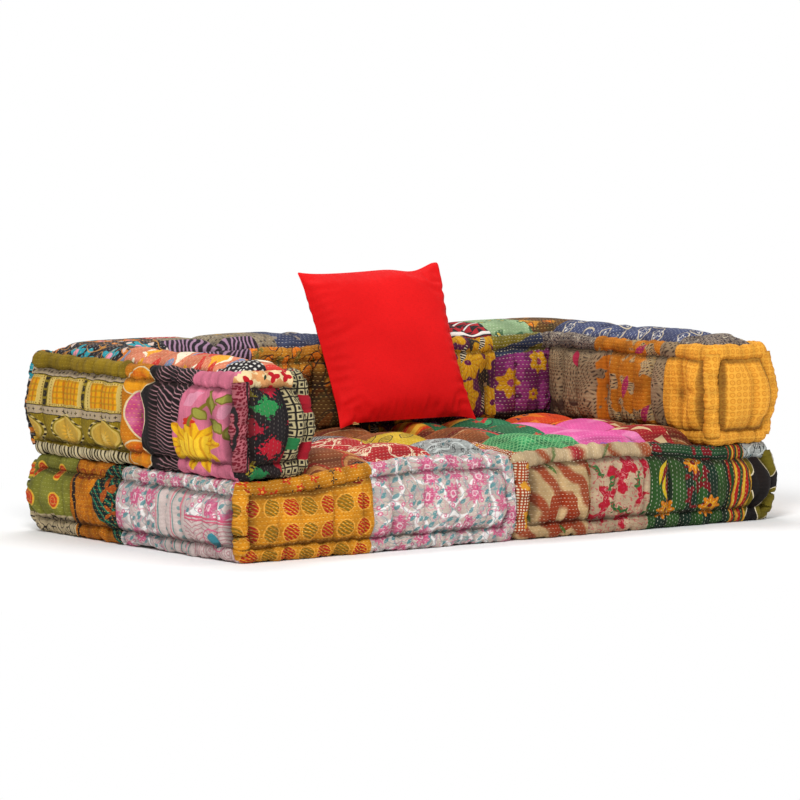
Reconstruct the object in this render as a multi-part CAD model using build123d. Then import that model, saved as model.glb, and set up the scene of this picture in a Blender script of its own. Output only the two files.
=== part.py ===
from build123d import *
import os
from math import cos, radians, sin, sqrt

# Modular floor sofa: two tufted seat blocks side by side, an L-shaped backrest block on each,
# and a loose cushion. Every block is a filled cover with hand-rolled edges, quilted walls and
# tufting tapes through its filling. Millimetres: X along the sofa, Y towards its back, Z up.
# The origin is the middle of the footprint, on the floor.

# Blocks
seat_width = 720.0
seat_depth = 860.0
seat_height = 175.0
backrest_height = 225.0
arm_width = 180.0
back_thickness = 255.0
block_gap = 0.3

# Rolled edges: a mitred ring above and below, and thinner upright rolls between them
roll_radius = 19.0
roll_sides = 12
post_radius = 18.0
seam_gap = 0.3
floor_flat = 0.5
front_roll_rise = 24.0
split_corner_rise = 15.0
side_roll_rise = 24.0
roll_bow_shares = (0.33, 0.7)

# Quilted walls: pads with upright channels, measured outwards from the roll's centre line
wall_padding = 13.3
wall_bulge = 29.0
wall_crease = 20.0
wall_pinch = 12.0
wall_tuck = 9.0
wall_corner_rest = 31.0
channel_pitch = 130.0
wall_swell_share = 0.35

# Tufted tops
seat_crown = 50.0
backrest_crown = 22.0
roll_cover = 8.0
edge_crown = 4.0
strip_overrun = 5.0
seat_lumps_across = 3
seat_lumps_deep = 3
seat_tuft_share = 0.15
seat_valley_share = 0.35
backrest_valley_share = 0.1
# Flat of the lumps that the cushion stands on, between the last tuft row and the backrest
cushion_rest_shares = (0.24, 0.7)

# Tufting tapes, knotted in a dimple at both ends
tape_width = 4.0
tape_thickness = 1.2
tape_gap = 0.3
knot_width = 8.0
knot_height = 3.0
upright_tape_offset = 14.0
arm_tie_from_corner = 235.0
arm_tie_pitch = 275.0
back_tie_from_split = 120.0
back_tie_pitch = 240.0

# Loose cushion
cushion_side = 383.0
cushion_crown = 50.0
cushion_seam = 2.5
cushion_draw_in = 9.0
cushion_cover = 3.0
cushion_cavity_edge = 0.6
cushion_margin = 18.0
cushion_gap = 0.3
cushion_tilt_deg = 23.4
cushion_middle_x = 52.0

# Concealed zip in the cushion's lower seam, measured up from that seam
zip_length = 320.0
zip_mouth_half = 0.8
zip_chamber_half = 2.6
zip_lip = 5.0
zip_depth = 15.0
teeth_rise = 6.5
teeth_height = 3.0
teeth_half = 1.2
teeth_end_gap = 2.0
zip_tape_half = 0.4
slider_length = 9.0
slider_wall = 1.0
slider_gap = 0.2
slider_end_gap = 3.0
pull_length = 16.0
pull_half = 0.45
pull_lift = 1.8

# Places that follow from the sizes. Centre lines of the rolls:
outer_x = -seat_width + roll_radius
split_x = -block_gap / 2 - roll_radius
front_y = -seat_depth / 2 + roll_radius
rear_y = seat_depth / 2 - roll_radius
seat_low_z = roll_radius - floor_flat
seat_top_z = seat_height - roll_radius
base_z = seat_height + block_gap
backrest_low_z = base_z + roll_radius
backrest_top_z = seat_height + backrest_height - roll_radius
arm_x = -seat_width + arm_width - roll_radius
back_y = seat_depth / 2 - back_thickness + roll_radius
# Faces of the arm and the back towards the seat:
arm_face_x = arm_x + roll_radius
back_face_y = back_y - roll_radius
skin_inset = wall_padding + seam_gap


def outline(points):
    """Closed wire through points; an item that holds two points is an arc through the first."""
    edges = []
    here = points[0]
    for item in points[1:] + [points[0]]:
        if isinstance(item[0], tuple):
            through, end = item
            edges.append(Edge.make_three_point_arc(here, through, end))
            here = end
        else:
            edges.append(Edge.make_line(here, item))
            here = item
    return Wire(edges)


def block(low, high):
    """Box from its lowest corner to its highest."""
    size = [b - a for a, b in zip(low, high)]
    middle = [(a + b) / 2 for a, b in zip(low, high)]
    return Pos(*middle) * Box(*size)


def roll_section(origin, way, radius):
    """Cross-section of a roll, square to its way, with a flat side below."""
    level = Vector(0, 0, 1).cross(way)
    x_dir = level if level.length > 0.5 else Vector(1, 0, 0)
    half_side = 180 / roll_sides
    shape = RegularPolygon(radius, roll_sides, major_radius=False, rotation=half_side)
    return Plane(origin=origin, x_dir=x_dir, z_dir=way) * shape


def mitred_ring(points, radius):
    """Closed ring of straight bars through points, mitred where they meet."""
    places = [Vector(*point) for point in points]
    count = len(places)
    ways = [(places[(i + 1) % count] - places[i]).normalized() for i in range(count)]
    bars = []
    for i, (start, way) in enumerate(zip(places, ways)):
        end = places[(i + 1) % count]
        spare = 2 * radius
        section = roll_section(start - way * spare, way, radius)
        bar = extrude(section, amount=(end - start).length + 2 * spare)
        bar = split(bar, bisect_by=Plane(origin=start, z_dir=ways[i - 1] + way), keep=Keep.TOP)
        turn = way + ways[(i + 1) % count]
        bars.append(split(bar, bisect_by=Plane(origin=end, z_dir=turn), keep=Keep.BOTTOM))
    return Part() + bars


def rolled_edges(corners, top_ring, low_z, extra):
    """The rolls of one block, grown by extra: both mitred rings and the uprights between."""
    edges = mitred_ring([(x, y, low_z) for x, y in corners], roll_radius + extra)
    edges += mitred_ring(top_ring, roll_radius + extra)
    for x, y in corners:
        top_z = next(point[2] for point in top_ring if point[:2] == (x, y))
        section = roll_section(Vector(x, y, low_z), Vector(0, 0, 1), post_radius + extra)
        edges += extrude(section, amount=top_z - low_z)
    return edges


def channel_stops(first, last, pinches):
    """Creases along a wall as (distance, kind), evenly spaced between the pinches."""
    stops = []
    ends = [first] + sorted(pinches) + [last]
    for start, end in zip(ends, ends[1:]):
        count = max(1, round((end - start) / channel_pitch))
        for i in range(count):
            kind = "crease" if i else "end" if start == first else "pinch"
            stops.append((start + (end - start) * i / count, kind))
    return stops + [(last, "end")]


def quilted_wall(start, end, low_z, high_z, pinches=(), rests=(0.0, 0.0)):
    """Wall pad between two uprights: a bulge cut into channels by its creases and pinches, up to
    flat rests beside an inside corner."""
    along = Vector(end[0] - start[0], end[1] - start[1], 0)
    length = along.length
    along = along.normalized()
    outward = Vector(along.Y, -along.X, 0)

    def place(s, offset, z):
        spot = along * s + outward * offset
        return (start[0] + spot.X, start[1] + spot.Y, z)

    depths = {"end": wall_crease, "crease": wall_crease, "pinch": wall_pinch}
    plan = [place(0.0, -wall_padding, low_z)]
    if rests[0]:
        plan.append(place(0.0, wall_tuck, low_z))
        plan.append(place(rests[0], wall_tuck, low_z))
    plan.append(place(rests[0], wall_crease, low_z))
    stops = channel_stops(rests[0], length - rests[1], pinches)
    for (here, _), (there, kind) in zip(stops, stops[1:]):
        crest = place((here + there) / 2, wall_bulge, low_z)
        plan.append((crest, place(there, depths[kind], low_z)))
    if rests[1]:
        plan.append(place(length - rests[1], wall_tuck, low_z))
        plan.append(place(length, wall_tuck, low_z))
    plan.append(place(length, -wall_padding, low_z))
    swell = (high_z - low_z) * wall_swell_share
    profile = [
        place(0.0, -wall_padding, low_z),
        place(0.0, wall_tuck, low_z),
        place(0.0, wall_bulge, low_z + swell),
        place(0.0, wall_bulge, high_z - swell),
        place(0.0, wall_tuck, high_z),
        place(0.0, -wall_padding, high_z),
    ]
    channels = Solid.extrude(Face(outline(plan)), Vector(0, 0, high_z - low_z))
    swelling = Solid.extrude(Face(outline(profile)), along * length)
    return (Part() + channels) & (Part() + swelling)


def bow(start, middle_rise, end_rise, share):
    """Height of a shallow bow from start, by a middle rise, to an end rise."""
    sag = middle_rise - end_rise / 2
    return start + end_rise * share + 4 * sag * share * (1 - share)


def crest_between(start, end, apex):
    """Height of an arc's middle, from start to end, that keeps its top at apex."""
    if apex in (start, end):
        return apex - abs(start - end) / 4
    return apex - (start - end) ** 2 / (16 * (apex - (start + end) / 2))


def lumps(axis, stops, apex, floor, near, far):
    """Padding in lumps along an axis, each an arc from stop to stop, as wide as near to far."""

    def at(place, z):
        return (place, near, z) if axis == "X" else (near, place, z)

    points = [at(stops[0][0], floor), at(*stops[0])]
    for (a, a_z), (b, b_z) in zip(stops, stops[1:]):
        if a_z == b_z == apex:
            points.append(at(b, b_z))
        else:
            points.append((at((a + b) / 2, crest_between(a_z, b_z, apex)), at(b, b_z)))
    points.append(at(stops[-1][0], floor))
    across = Vector(0, far - near, 0) if axis == "X" else Vector(far - near, 0, 0)
    return Part() + Solid.extrude(Face(outline(points)), across)


def tie_box(centre, axis, low, high, width, thickness):
    """Box of a tie's cross-section, from low to high along an axis through a centre."""
    x, y, z = centre
    across = width / 2
    thick = thickness / 2
    if axis == "X":
        return block((low, y - across, z - thick), (high, y + across, z + thick))
    if axis == "Y":
        return block((x - across, low, z - thick), (x + across, high, z + thick))
    return block((x - across, y - thick, low), (x + across, y + thick, high))


def tie(centre, axis, low, high):
    """A tufting tape from skin to skin, with a knot at each end."""
    knot = (knot_width, knot_width)
    shape = tie_box(centre, axis, low, high, tape_width, tape_thickness)
    shape += tie_box(centre, axis, low, low + knot_height, *knot)
    return shape + tie_box(centre, axis, high - knot_height, high, *knot)


def tie_way(centre, axis, low, high):
    """The slit that a tape makes for itself, with a dimple open outwards for each knot."""
    dimple = knot_width + 2 * tape_gap
    depth = knot_height + tape_gap
    slit = (tape_width + 2 * tape_gap, tape_thickness + 2 * tape_gap)
    way = tie_box(centre, axis, low, high, *slit)
    way += tie_box(centre, axis, low - wall_bulge, low + depth, dimple, dimple)
    return way + tie_box(centre, axis, high - depth, high + wall_bulge, dimple, dimple)


def trimmed(shape, cutter):
    """One solid of a shape after a cut; what the seams cut off is dropped."""
    return (Part() + shape - cutter).solids().sort_by(SortBy.VOLUME)[-1]


def seat_parts():
    """The left seat block, as {piece name: shape}."""
    corners = [(outer_x, front_y), (split_x, front_y), (split_x, rear_y), (outer_x, rear_y)]
    raised_z = seat_top_z + split_corner_rise

    def front_roll(x):
        share = (x - arm_face_x) / (split_x - arm_face_x)
        return bow(seat_top_z, front_roll_rise, split_corner_rise, share)

    def side_roll(y):
        share = (y - front_y) / (back_face_y - front_y)
        middle_rise = side_roll_rise - split_corner_rise
        return bow(raised_z, middle_rise, -split_corner_rise, share)

    front_xs = [arm_face_x + (split_x - arm_face_x) * share for share in roll_bow_shares]
    side_ys = [front_y + (back_face_y - front_y) * share for share in roll_bow_shares]
    top_ring = [
        (outer_x, front_y, seat_top_z),
        (arm_face_x, front_y, seat_top_z),
        *[(x, front_y, front_roll(x)) for x in front_xs],
        (split_x, front_y, raised_z),
        *[(split_x, y, side_roll(y)) for y in side_ys],
        (split_x, back_face_y, seat_top_z),
        (split_x, rear_y, seat_top_z),
        (outer_x, rear_y, seat_top_z),
    ]
    seams = rolled_edges(corners, top_ring, seat_low_z, seam_gap)
    floor = block(
        (outer_x - seat_width, front_y - seat_depth, -seat_height),
        (split_x + seat_width, rear_y + seat_depth, 0.0),
    )

    # Tufts where the seat is free: columns from the arm's foot to the split, rows from the front
    lump_width = (split_x + roll_radius - arm_face_x) / seat_lumps_across
    tuft_xs = [arm_face_x + lump_width * (i + 1) for i in range(seat_lumps_across - 1)]
    lump_depth = seat_depth / 2 / (seat_lumps_deep - 1)
    tuft_ys = [-seat_depth / 2 + lump_depth * (i + 1) for i in range(seat_lumps_deep - 1)]
    tuft_z = seat_height + seat_crown * seat_tuft_share
    ties, ways = Part(), Part()
    for x in tuft_xs:
        for y in tuft_ys:
            ties += tie((x, y, seat_low_z), "Z", tape_gap, tuft_z)
            ways += tie_way((x, y, seat_low_z), "Z", tape_gap, tuft_z)

    # Top: crowned lumps where the seat is free, flat where the backrest presses on it
    skin_z = seat_top_z - wall_padding
    west, east = outer_x + skin_inset, split_x - skin_inset
    south, north = front_y + skin_inset, rear_y - skin_inset
    last_y = back_face_y - seam_gap
    apex = seat_height + seat_crown
    valley_z = seat_height + seat_crown * seat_valley_share
    end_z = seat_top_z + front_roll_rise + roll_cover
    rest_ys = [tuft_ys[1] + (last_y - tuft_ys[1]) * share for share in cushion_rest_shares]
    x_stops = [(arm_face_x, seat_height), *[(x, valley_z) for x in tuft_xs], (east, end_z)]
    y_stops = [(south, end_z), *[(y, valley_z) for y in tuft_ys]]
    y_stops += [*[(y, apex) for y in rest_ys], (last_y, seat_height + edge_crown)]
    top = lumps("X", x_stops, apex, skin_z, south, last_y)
    top &= lumps("Y", y_stops, apex, skin_z, arm_face_x, east)
    top += block((west, south, skin_z), (arm_face_x + strip_overrun, north, seat_height))
    top += block((west, last_y - strip_overrun, skin_z), (east, north, seat_height))

    base_top_z = seat_low_z + wall_padding
    base = block((west, south, 0.0), (east, north, base_top_z))
    filling = block(
        (west, south, base_top_z + seam_gap),
        (east, north, skin_z - seam_gap),
    )
    front = quilted_wall(corners[0], corners[1], seat_low_z, seat_top_z + front_roll_rise / 2)
    rear = quilted_wall(corners[2], corners[3], seat_low_z, seat_top_z)
    outer = quilted_wall(corners[3], corners[0], seat_low_z, seat_top_z)
    inner = block(
        (split_x - wall_padding, front_y, seat_low_z),
        (split_x + roll_radius, rear_y, seat_top_z + side_roll_rise / 2),
    )
    return {
        "top_panel": trimmed(top, seams + ways),
        "base_panel": trimmed(base, seams + ways),
        "filling": trimmed(filling, seams + ways),
        "front_wall": trimmed(front, seams),
        "rear_wall": trimmed(rear, seams),
        "outer_wall": trimmed(outer, seams),
        "split_wall": trimmed(inner, seams),
        "rolled_edges": trimmed(rolled_edges(corners, top_ring, seat_low_z, 0.0), floor),
        "tufting_tapes": ties,
    }


def backrest_parts():
    """The left backrest block, an arm and half of the back in one L."""
    corners = [
        (outer_x, front_y), (arm_x, front_y), (arm_x, back_y),
        (split_x, back_y), (split_x, rear_y), (outer_x, rear_y),
    ]
    top_ring = [(x, y, backrest_top_z) for x, y in corners]
    seams = rolled_edges(corners, top_ring, backrest_low_z, seam_gap)

    # Ties across the arm and the back at mid height, and upright ones beside them
    middle_z = (backrest_low_z + backrest_top_z) / 2
    top_z = seat_height + backrest_height
    valley_z = top_z + backrest_crown * backrest_valley_share
    tie_ys = [back_y - arm_tie_from_corner - arm_tie_pitch * i for i in (0, 1)]
    tie_xs = [-back_tie_from_split - back_tie_pitch * i for i in (0, 1)]
    arm_middle_x = (outer_x + arm_x) / 2
    back_middle_y = (back_y + rear_y) / 2
    upright_ys = [y + upright_tape_offset for y in tie_ys]
    upright_xs = [x + upright_tape_offset for x in tie_xs]
    lines = []
    for y, upright_y in zip(tie_ys, upright_ys):
        lines.append(((outer_x, y, middle_z), "X", outer_x - wall_pinch, arm_x + wall_pinch))
        lines.append(((arm_middle_x, upright_y, middle_z), "Z", base_z + tape_gap, valley_z))
    for x, upright_x in zip(tie_xs, upright_xs):
        lines.append(((x, back_y, middle_z), "Y", back_y - wall_pinch, rear_y + wall_pinch))
        lines.append(((upright_x, back_middle_y, middle_z), "Z", base_z + tape_gap, valley_z))
    ties, ways = Part(), Part()
    for line in lines:
        ties += tie(*line)
        ways += tie_way(*line)

    west, arm_east, east = outer_x + skin_inset, arm_x - skin_inset, split_x - skin_inset
    south, back_south, north = front_y + skin_inset, back_y + skin_inset, rear_y - skin_inset
    skin_z = backrest_top_z - wall_padding
    edge_z = backrest_top_z + roll_cover

    def top_stops(start, valleys, end):
        return [(start, edge_z), *[(place, valley_z) for place in valleys], (end, edge_z)]

    apex = top_z + backrest_crown
    arm_stops = top_stops(south, [*reversed(upright_ys), back_y], north)
    back_stops = top_stops(west, [arm_x, *reversed(upright_xs)], east)
    arm_top = lumps("X", top_stops(west, [], arm_east), apex, skin_z, south, north)
    arm_top &= lumps("Y", arm_stops, apex, skin_z, west, arm_east)
    back_top = lumps("Y", top_stops(back_south, [], north), apex, skin_z, west, east)
    back_top &= lumps("X", back_stops, apex, skin_z, back_south, north)
    top = arm_top + back_top

    def corner_block(low_z, high_z):
        arm = block((west, south, low_z), (arm_east, north, high_z))
        return arm + block((west, back_south, low_z), (east, north, high_z))

    base_top_z = backrest_low_z + wall_padding
    core = corner_block(base_top_z + seam_gap, skin_z - seam_gap)
    parts = {
        "top_panel": trimmed(top, seams + ways),
        "base_panel": trimmed(corner_block(base_z, base_top_z), seams + ways),
        "filling": trimmed(core, seams + ways),
        "rolled_edges": rolled_edges(corners, top_ring, backrest_low_z, 0.0).solids()[0],
        "tufting_tapes": ties,
    }
    arm_pinches = [back_y - y for y in tie_ys]
    from_front = [y - front_y for y in tie_ys]
    rest = wall_corner_rest
    walls = {
        "front_wall": (0, 1, [], (0.0, 0.0)),
        "arm_inner_wall": (1, 2, from_front, (0.0, rest)),
        "back_inner_wall": (2, 3, [x - arm_x for x in tie_xs], (rest, 0.0)),
        "rear_wall": (4, 5, [split_x - x for x in tie_xs], (0.0, 0.0)),
        "outer_wall": (5, 0, [rear_y - back_y + s for s in arm_pinches], (0.0, 0.0)),
    }
    for name, (i, j, pinches, rests) in walls.items():
        levels = (backrest_low_z, backrest_top_z)
        pad = quilted_wall(corners[i], corners[j], *levels, pinches, rests)
        parts[name] = trimmed(pad, seams + ways)
    split_pad = block(
        (split_x - wall_padding, back_y, backrest_low_z),
        (split_x + roll_radius, rear_y, backrest_top_z),
    )
    parts["split_wall"] = trimmed(split_pad, seams)
    return parts


def half_lens(reach, low, high, crown, edge):
    """Front half of a pillow: a crown across and a crown upwards, down to its flat edge."""
    across = [(-reach, edge), (reach, edge)]
    upwards = [(low, edge), (high, edge)]
    shape = lumps("X", across, edge + crown, 0.0, low, high)
    return shape & lumps("Y", upwards, edge + crown, 0.0, -reach, reach)


def cushion_parts():
    """The loose cushion: two sewn panels, its pad and the zip in its lower seam."""
    half = cushion_side / 2
    reach = half - cushion_draw_in
    front = half_lens(reach, -half, reach, cushion_crown, cushion_seam)
    front += block((-half, -half, 0.0), (half, half, cushion_seam))
    side_radius = (half * half + cushion_draw_in * cushion_draw_in) / (2 * cushion_draw_in)
    middle = half - cushion_draw_in + side_radius
    for x, y in ((-middle, 0.0), (middle, 0.0), (0.0, middle)):
        front -= Pos(x, y, 0.0) * Cylinder(side_radius, 4 * cushion_crown)
    inner = reach - cushion_margin
    low = -half + cushion_margin
    cavity_crown = cushion_crown - cushion_cover
    cavity = half_lens(inner, low, inner, cavity_crown, cushion_cavity_edge)
    pad_crown = cavity_crown - cushion_gap
    pad_edge = cushion_cavity_edge - cushion_gap / 2
    pad = half_lens(
        inner - cushion_gap, low + cushion_gap, inner - cushion_gap, pad_crown, pad_edge
    )
    pad += mirror(pad, about=Plane.XY)

    run = zip_length / 2
    mouth = block((-run, -half - zip_lip, -zip_mouth_half), (run, -half + zip_lip, zip_mouth_half))
    chamber = block(
        (-run, -half + zip_lip, -zip_chamber_half), (run, -half + zip_depth, zip_chamber_half)
    )
    front = trimmed(front, cavity + mouth + chamber)
    teeth_low = -half + teeth_rise
    teeth_high = teeth_low + teeth_height
    row = run - teeth_end_gap
    teeth = block((-row, teeth_low, -teeth_half), (row, teeth_high, teeth_half))
    tape = block((-row, teeth_high, -zip_tape_half), (row, -half + zip_depth, zip_tape_half))
    slider_x = -row + slider_end_gap
    slot_half = teeth_half + slider_gap
    case_half = slot_half + slider_wall
    case_low = teeth_low - slider_gap - slider_wall
    case_high = teeth_high + slider_gap + slider_wall
    case_end = slider_x + slider_length
    slider = block((slider_x, case_low, -case_half), (case_end, case_high, case_half))
    slider -= block(
        (slider_x - slider_wall, teeth_low - slider_gap, -slot_half),
        (case_end + slider_wall, teeth_high + slider_gap, slot_half),
    )
    slit = zip_tape_half + slider_gap
    slider -= block(
        (slider_x - slider_wall, teeth_high, -slit),
        (case_end + slider_wall, case_high + slider_wall, slit),
    )
    slider += block(
        (slider_x, -half + pull_lift, -pull_half),
        (slider_x + pull_length, case_low + slider_wall / 2, pull_half),
    )
    return {
        "cushion_front_panel": front,
        "cushion_back_panel": mirror(front, about=Plane.XY),
        "cushion_pad": pad,
        "cushion_zip_teeth": teeth,
        "cushion_zip_tape": tape,
        "cushion_zip_slider": slider,
    }


def cushion_place():
    """Where the cushion sits: its lower seam on the lumps, its back against the top roll."""
    lean = radians(cushion_tilt_deg)
    half = cushion_side / 2
    chord = cushion_side - cushion_draw_in
    back_radius = (chord * chord / 4 + cushion_crown * cushion_crown) / (2 * cushion_crown)
    seam_z = seat_height + seat_crown + block_gap + cushion_seam * sin(lean)
    up_seam = half - cushion_draw_in / 2
    forward = back_radius - cushion_crown - cushion_seam
    arc_z = seam_z + up_seam * cos(lean) + forward * sin(lean)
    reach = back_radius + roll_radius / cos(radians(180 / roll_sides)) + cushion_gap
    arc_y = back_y - sqrt(reach * reach - (arc_z - backrest_top_z) ** 2)
    seam_y = arc_y - up_seam * sin(lean) + forward * cos(lean)
    middle = (cushion_middle_x, seam_y + half * sin(lean), seam_z + half * cos(lean))
    return Plane(origin=middle, x_dir=(1, 0, 0), z_dir=(0, -cos(lean), sin(lean)))


os.makedirs("parts", exist_ok=True)
for block_name, block_parts in (("seat", seat_parts()), ("backrest", backrest_parts())):
    for piece, shape in block_parts.items():
        export_step(shape, f"parts/{block_name}_left_{piece}.step")
        export_step(mirror(shape, about=Plane.YZ), f"parts/{block_name}_right_{piece}.step")
place = cushion_place()
for piece, shape in cushion_parts().items():
    export_step(place.location * shape, f"parts/{piece}.step")
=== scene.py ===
from math import cos, exp, pi, radians, sin, sqrt

import bpy
import numpy as np
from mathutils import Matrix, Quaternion, Vector, noise


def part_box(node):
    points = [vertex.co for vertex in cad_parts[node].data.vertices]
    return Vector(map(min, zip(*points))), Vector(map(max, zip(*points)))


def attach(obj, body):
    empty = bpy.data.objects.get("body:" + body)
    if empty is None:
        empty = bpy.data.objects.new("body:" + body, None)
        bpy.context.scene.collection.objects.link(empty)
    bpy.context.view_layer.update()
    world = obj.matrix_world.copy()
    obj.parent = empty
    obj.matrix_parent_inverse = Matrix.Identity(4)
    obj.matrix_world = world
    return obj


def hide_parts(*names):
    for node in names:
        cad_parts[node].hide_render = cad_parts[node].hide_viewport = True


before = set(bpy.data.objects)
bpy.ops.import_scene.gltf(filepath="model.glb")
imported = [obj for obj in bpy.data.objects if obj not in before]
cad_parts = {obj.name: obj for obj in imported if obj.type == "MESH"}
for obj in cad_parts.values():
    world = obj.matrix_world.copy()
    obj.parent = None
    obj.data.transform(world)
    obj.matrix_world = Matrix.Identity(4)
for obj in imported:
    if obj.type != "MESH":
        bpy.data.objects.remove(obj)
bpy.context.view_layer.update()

# The studio: a white sweep with a soft key from the front left, a fill from the right and a plain
# white surround, seen through a long lens from low in front and to the left of the sofa.
view_from = Vector((-6.1145, -8.787, 1.155))
view_at = Vector((-0.0081, 0.0, 0.2822))
camera_data = bpy.data.cameras.new("camera")
camera_data.lens = 214.85
camera_data.sensor_width = 36.0
camera_data.clip_end = 100.0
camera = bpy.data.objects.new("camera", camera_data)
camera.location = view_from
aim = (view_at - view_from).to_track_quat("-Z", "Y")
camera.rotation_euler = (aim @ Quaternion((0, 0, 1), -0.0075)).to_euler()
bpy.context.collection.objects.link(camera)
bpy.context.scene.camera = camera
bpy.context.scene.view_settings.view_transform = "Standard"


def studio_lamp(name, place, size, power):
    lamp = bpy.data.lights.new(name, "AREA")
    lamp.shape = "DISK"
    lamp.size = size
    lamp.energy = power
    holder = bpy.data.objects.new(name, lamp)
    holder.location = place
    holder.rotation_euler = (-Vector(place)).to_track_quat("-Z", "Y").to_euler()
    bpy.context.collection.objects.link(holder)


studio_lamp("key", (-2.9, -3.2, 3.3), 1.6, 188.0)
studio_lamp("fill", (3.4, -2.8, 2.0), 2.4, 42.0)
studio_lamp("crown", (0.4, 1.2, 3.6), 2.2, 62.0)


class Cloth:
    """A socket in a cloth's shader, so that its print is written as sums."""

    def __init__(self, tree, socket):
        self.tree = tree
        self.socket = socket

    def node(self, kind, inputs, out=0, **settings):
        made = self.tree.nodes.new(kind)
        for setting, value in settings.items():
            setattr(made, setting, value)
        for key, value in inputs.items():
            if isinstance(value, Cloth):
                self.tree.links.new(value.socket, made.inputs[key])
            else:
                made.inputs[key].default_value = value
        return Cloth(self.tree, made.outputs[out])

    def math(self, operation, *others):
        values = dict(enumerate((self, *others)))
        return self.node("ShaderNodeMath", values, operation=operation)

    def __add__(self, other):
        return self.math("ADD", other)

    __radd__ = __add__

    def __mul__(self, other):
        return self.math("MULTIPLY", other)

    __rmul__ = __mul__

    def __sub__(self, other):
        return self.math("SUBTRACT", other)

    def __rsub__(self, other):
        return self.node("ShaderNodeMath", {0: other, 1: self}, operation="SUBTRACT")

    def __truediv__(self, other):
        return self.math("DIVIDE", other)

    def clamp(self):
        return self.node("ShaderNodeClamp", {"Value": self})

    def split(self):
        """The X, Y and Z of this place."""
        x = self.node("ShaderNodeSeparateXYZ", {0: self})
        return [Cloth(self.tree, output) for output in x.socket.node.outputs]

    def mix(self, other, mask):
        """This colour, turned to the other where the mask is 1."""
        inputs = {0: mask, 6: self, 7: other}
        return self.node("ShaderNodeMix", inputs, out=2, data_type="RGBA", clamp_factor=True)


backdrop = bpy.data.materials.new("white_sweep")
backdrop.use_nodes = True
sweep = backdrop.node_tree
paper = sweep.nodes["Principled BSDF"]
paper.inputs["Base Color"].default_value = (0.95, 0.95, 0.95, 1)
paper.inputs["Roughness"].default_value = 0.9
paper.inputs["Specular IOR Level"].default_value = 0.0
lit = sweep.nodes.new("ShaderNodeEmission")
lit.inputs["Strength"].default_value = 1.0
spot = sweep.nodes.new("ShaderNodeTexCoord")
spot = Cloth(sweep, spot.outputs["Object"])
away = spot.node("ShaderNodeVectorMath", {0: spot, 1: (0.8, 1.1, 0)}, operation="MULTIPLY")
away = away.node("ShaderNodeVectorMath", {0: away}, out="Value", operation="LENGTH")
away = away.node("ShaderNodeMapRange", {0: away, 1: 0.75, 2: 1.5, 3: 0.0, 4: 1.0}, clamp=True)
shaders = {1: Cloth(sweep, paper.outputs[0]), 2: Cloth(sweep, lit.outputs[0])}
mixed = away.node("ShaderNodeMixShader", {0: away, **shaders})
sweep.links.new(mixed.socket, sweep.nodes["Material Output"].inputs[0])
bpy.ops.object.select_all(action="DESELECT")
bpy.ops.mesh.primitive_plane_add(size=60.0, location=(0, 0, -0.0005))
floor = bpy.context.object
floor.name = "floor"
floor.data.materials.append(backdrop)
world = bpy.data.worlds.new("white_surround")
bpy.context.scene.world = world
world.use_nodes = True
world_tree = world.node_tree
surround = world_tree.nodes["Background"]
rays = world_tree.nodes.new("ShaderNodeLightPath")
seen = Cloth(world_tree, rays.outputs["Is Camera Ray"])
for kind in ("Glossy", "Transmission"):
    seen = seen.math("MAXIMUM", Cloth(world_tree, rays.outputs[f"Is {kind} Ray"]))
strength = seen * 0.62 + 0.38
world_tree.links.new(strength.socket, surround.inputs["Strength"])
surround.inputs["Color"].default_value = (1, 1, 1, 1)

# Walls of the two seat blocks: strips of kantha-stitched patchwork, sewn at all four sides under
# the rolled edges and stuffed behind, so that they belly out between soft upright creases.
roll_radius = 0.019
seat_low, seat_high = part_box("seat_left_rolled_edges")
outer_x = -seat_low.x - roll_radius
split_x = -seat_high.x + roll_radius
front_y = seat_low.y + roll_radius
rear_y = seat_high.y - roll_radius
seat_bottom_z = 0.0185
seat_top_z = 0.156
front_bow = 0.024
split_rise = 0.015
arm_x = 0.559
back_y = 0.194
arm_face_x = arm_x - roll_radius
back_face_y = back_y - roll_radius


def bow(start, middle_rise, end_rise, share):
    sag = middle_rise - end_rise / 2
    return start + end_rise * share + 4 * sag * share * (1 - share)


def seat_front_z(x):
    """Height of a seat block's front roll, which its lumps push up between arm and split."""
    share = (arm_face_x - abs(x)) / (arm_face_x - split_x)
    return seat_top_z if share < 0 else bow(seat_top_z, front_bow, split_rise, share)


def seat_split_z(y):
    share = (y - front_y) / (back_face_y - front_y)
    if share > 1:
        return seat_top_z
    return bow(seat_top_z + split_rise, front_bow - split_rise, -split_rise, share)


def seat_edge_z(x, y):
    if abs(y - front_y) < 0.001:
        return seat_front_z(x)
    if abs(abs(x) - split_x) < 0.001:
        return seat_split_z(y)
    return seat_top_z


def soft_noise(x, y, z, scale, seed):
    return noise.noise(Vector((x * scale + seed, y * scale - seed, z * scale + 2 * seed)))


pads = []


def cloth_piece(name, points, faces, loop_uvs, fabrics, shades):
    """A piece of cloth: a smooth mesh with its map, its seam shading and a fabric on each face."""
    mesh = bpy.data.meshes.new(name)
    mesh.from_pydata([tuple(p) for p in points], [], faces)
    layer = mesh.uv_layers.new(name="cloth")
    layer.data.foreach_set("uv", [c for face in loop_uvs for uv in face for c in uv])
    # The seam attribute holds painted shade, 0 to 1, for seams, creases and hollows.
    mesh.attributes.new("seam", "FLOAT", "POINT").data.foreach_set("value", shades)
    names = []
    for polygon, fabric in zip(mesh.polygons, fabrics):
        if fabric not in names:
            names.append(fabric)
            mesh.materials.append(bpy.data.materials.get(fabric) or printed_cotton(fabric))
        polygon.material_index = names.index(fabric)
        polygon.use_smooth = True
    piece = bpy.data.objects.new(name, mesh)
    bpy.context.collection.objects.link(piece)
    return piece


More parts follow.
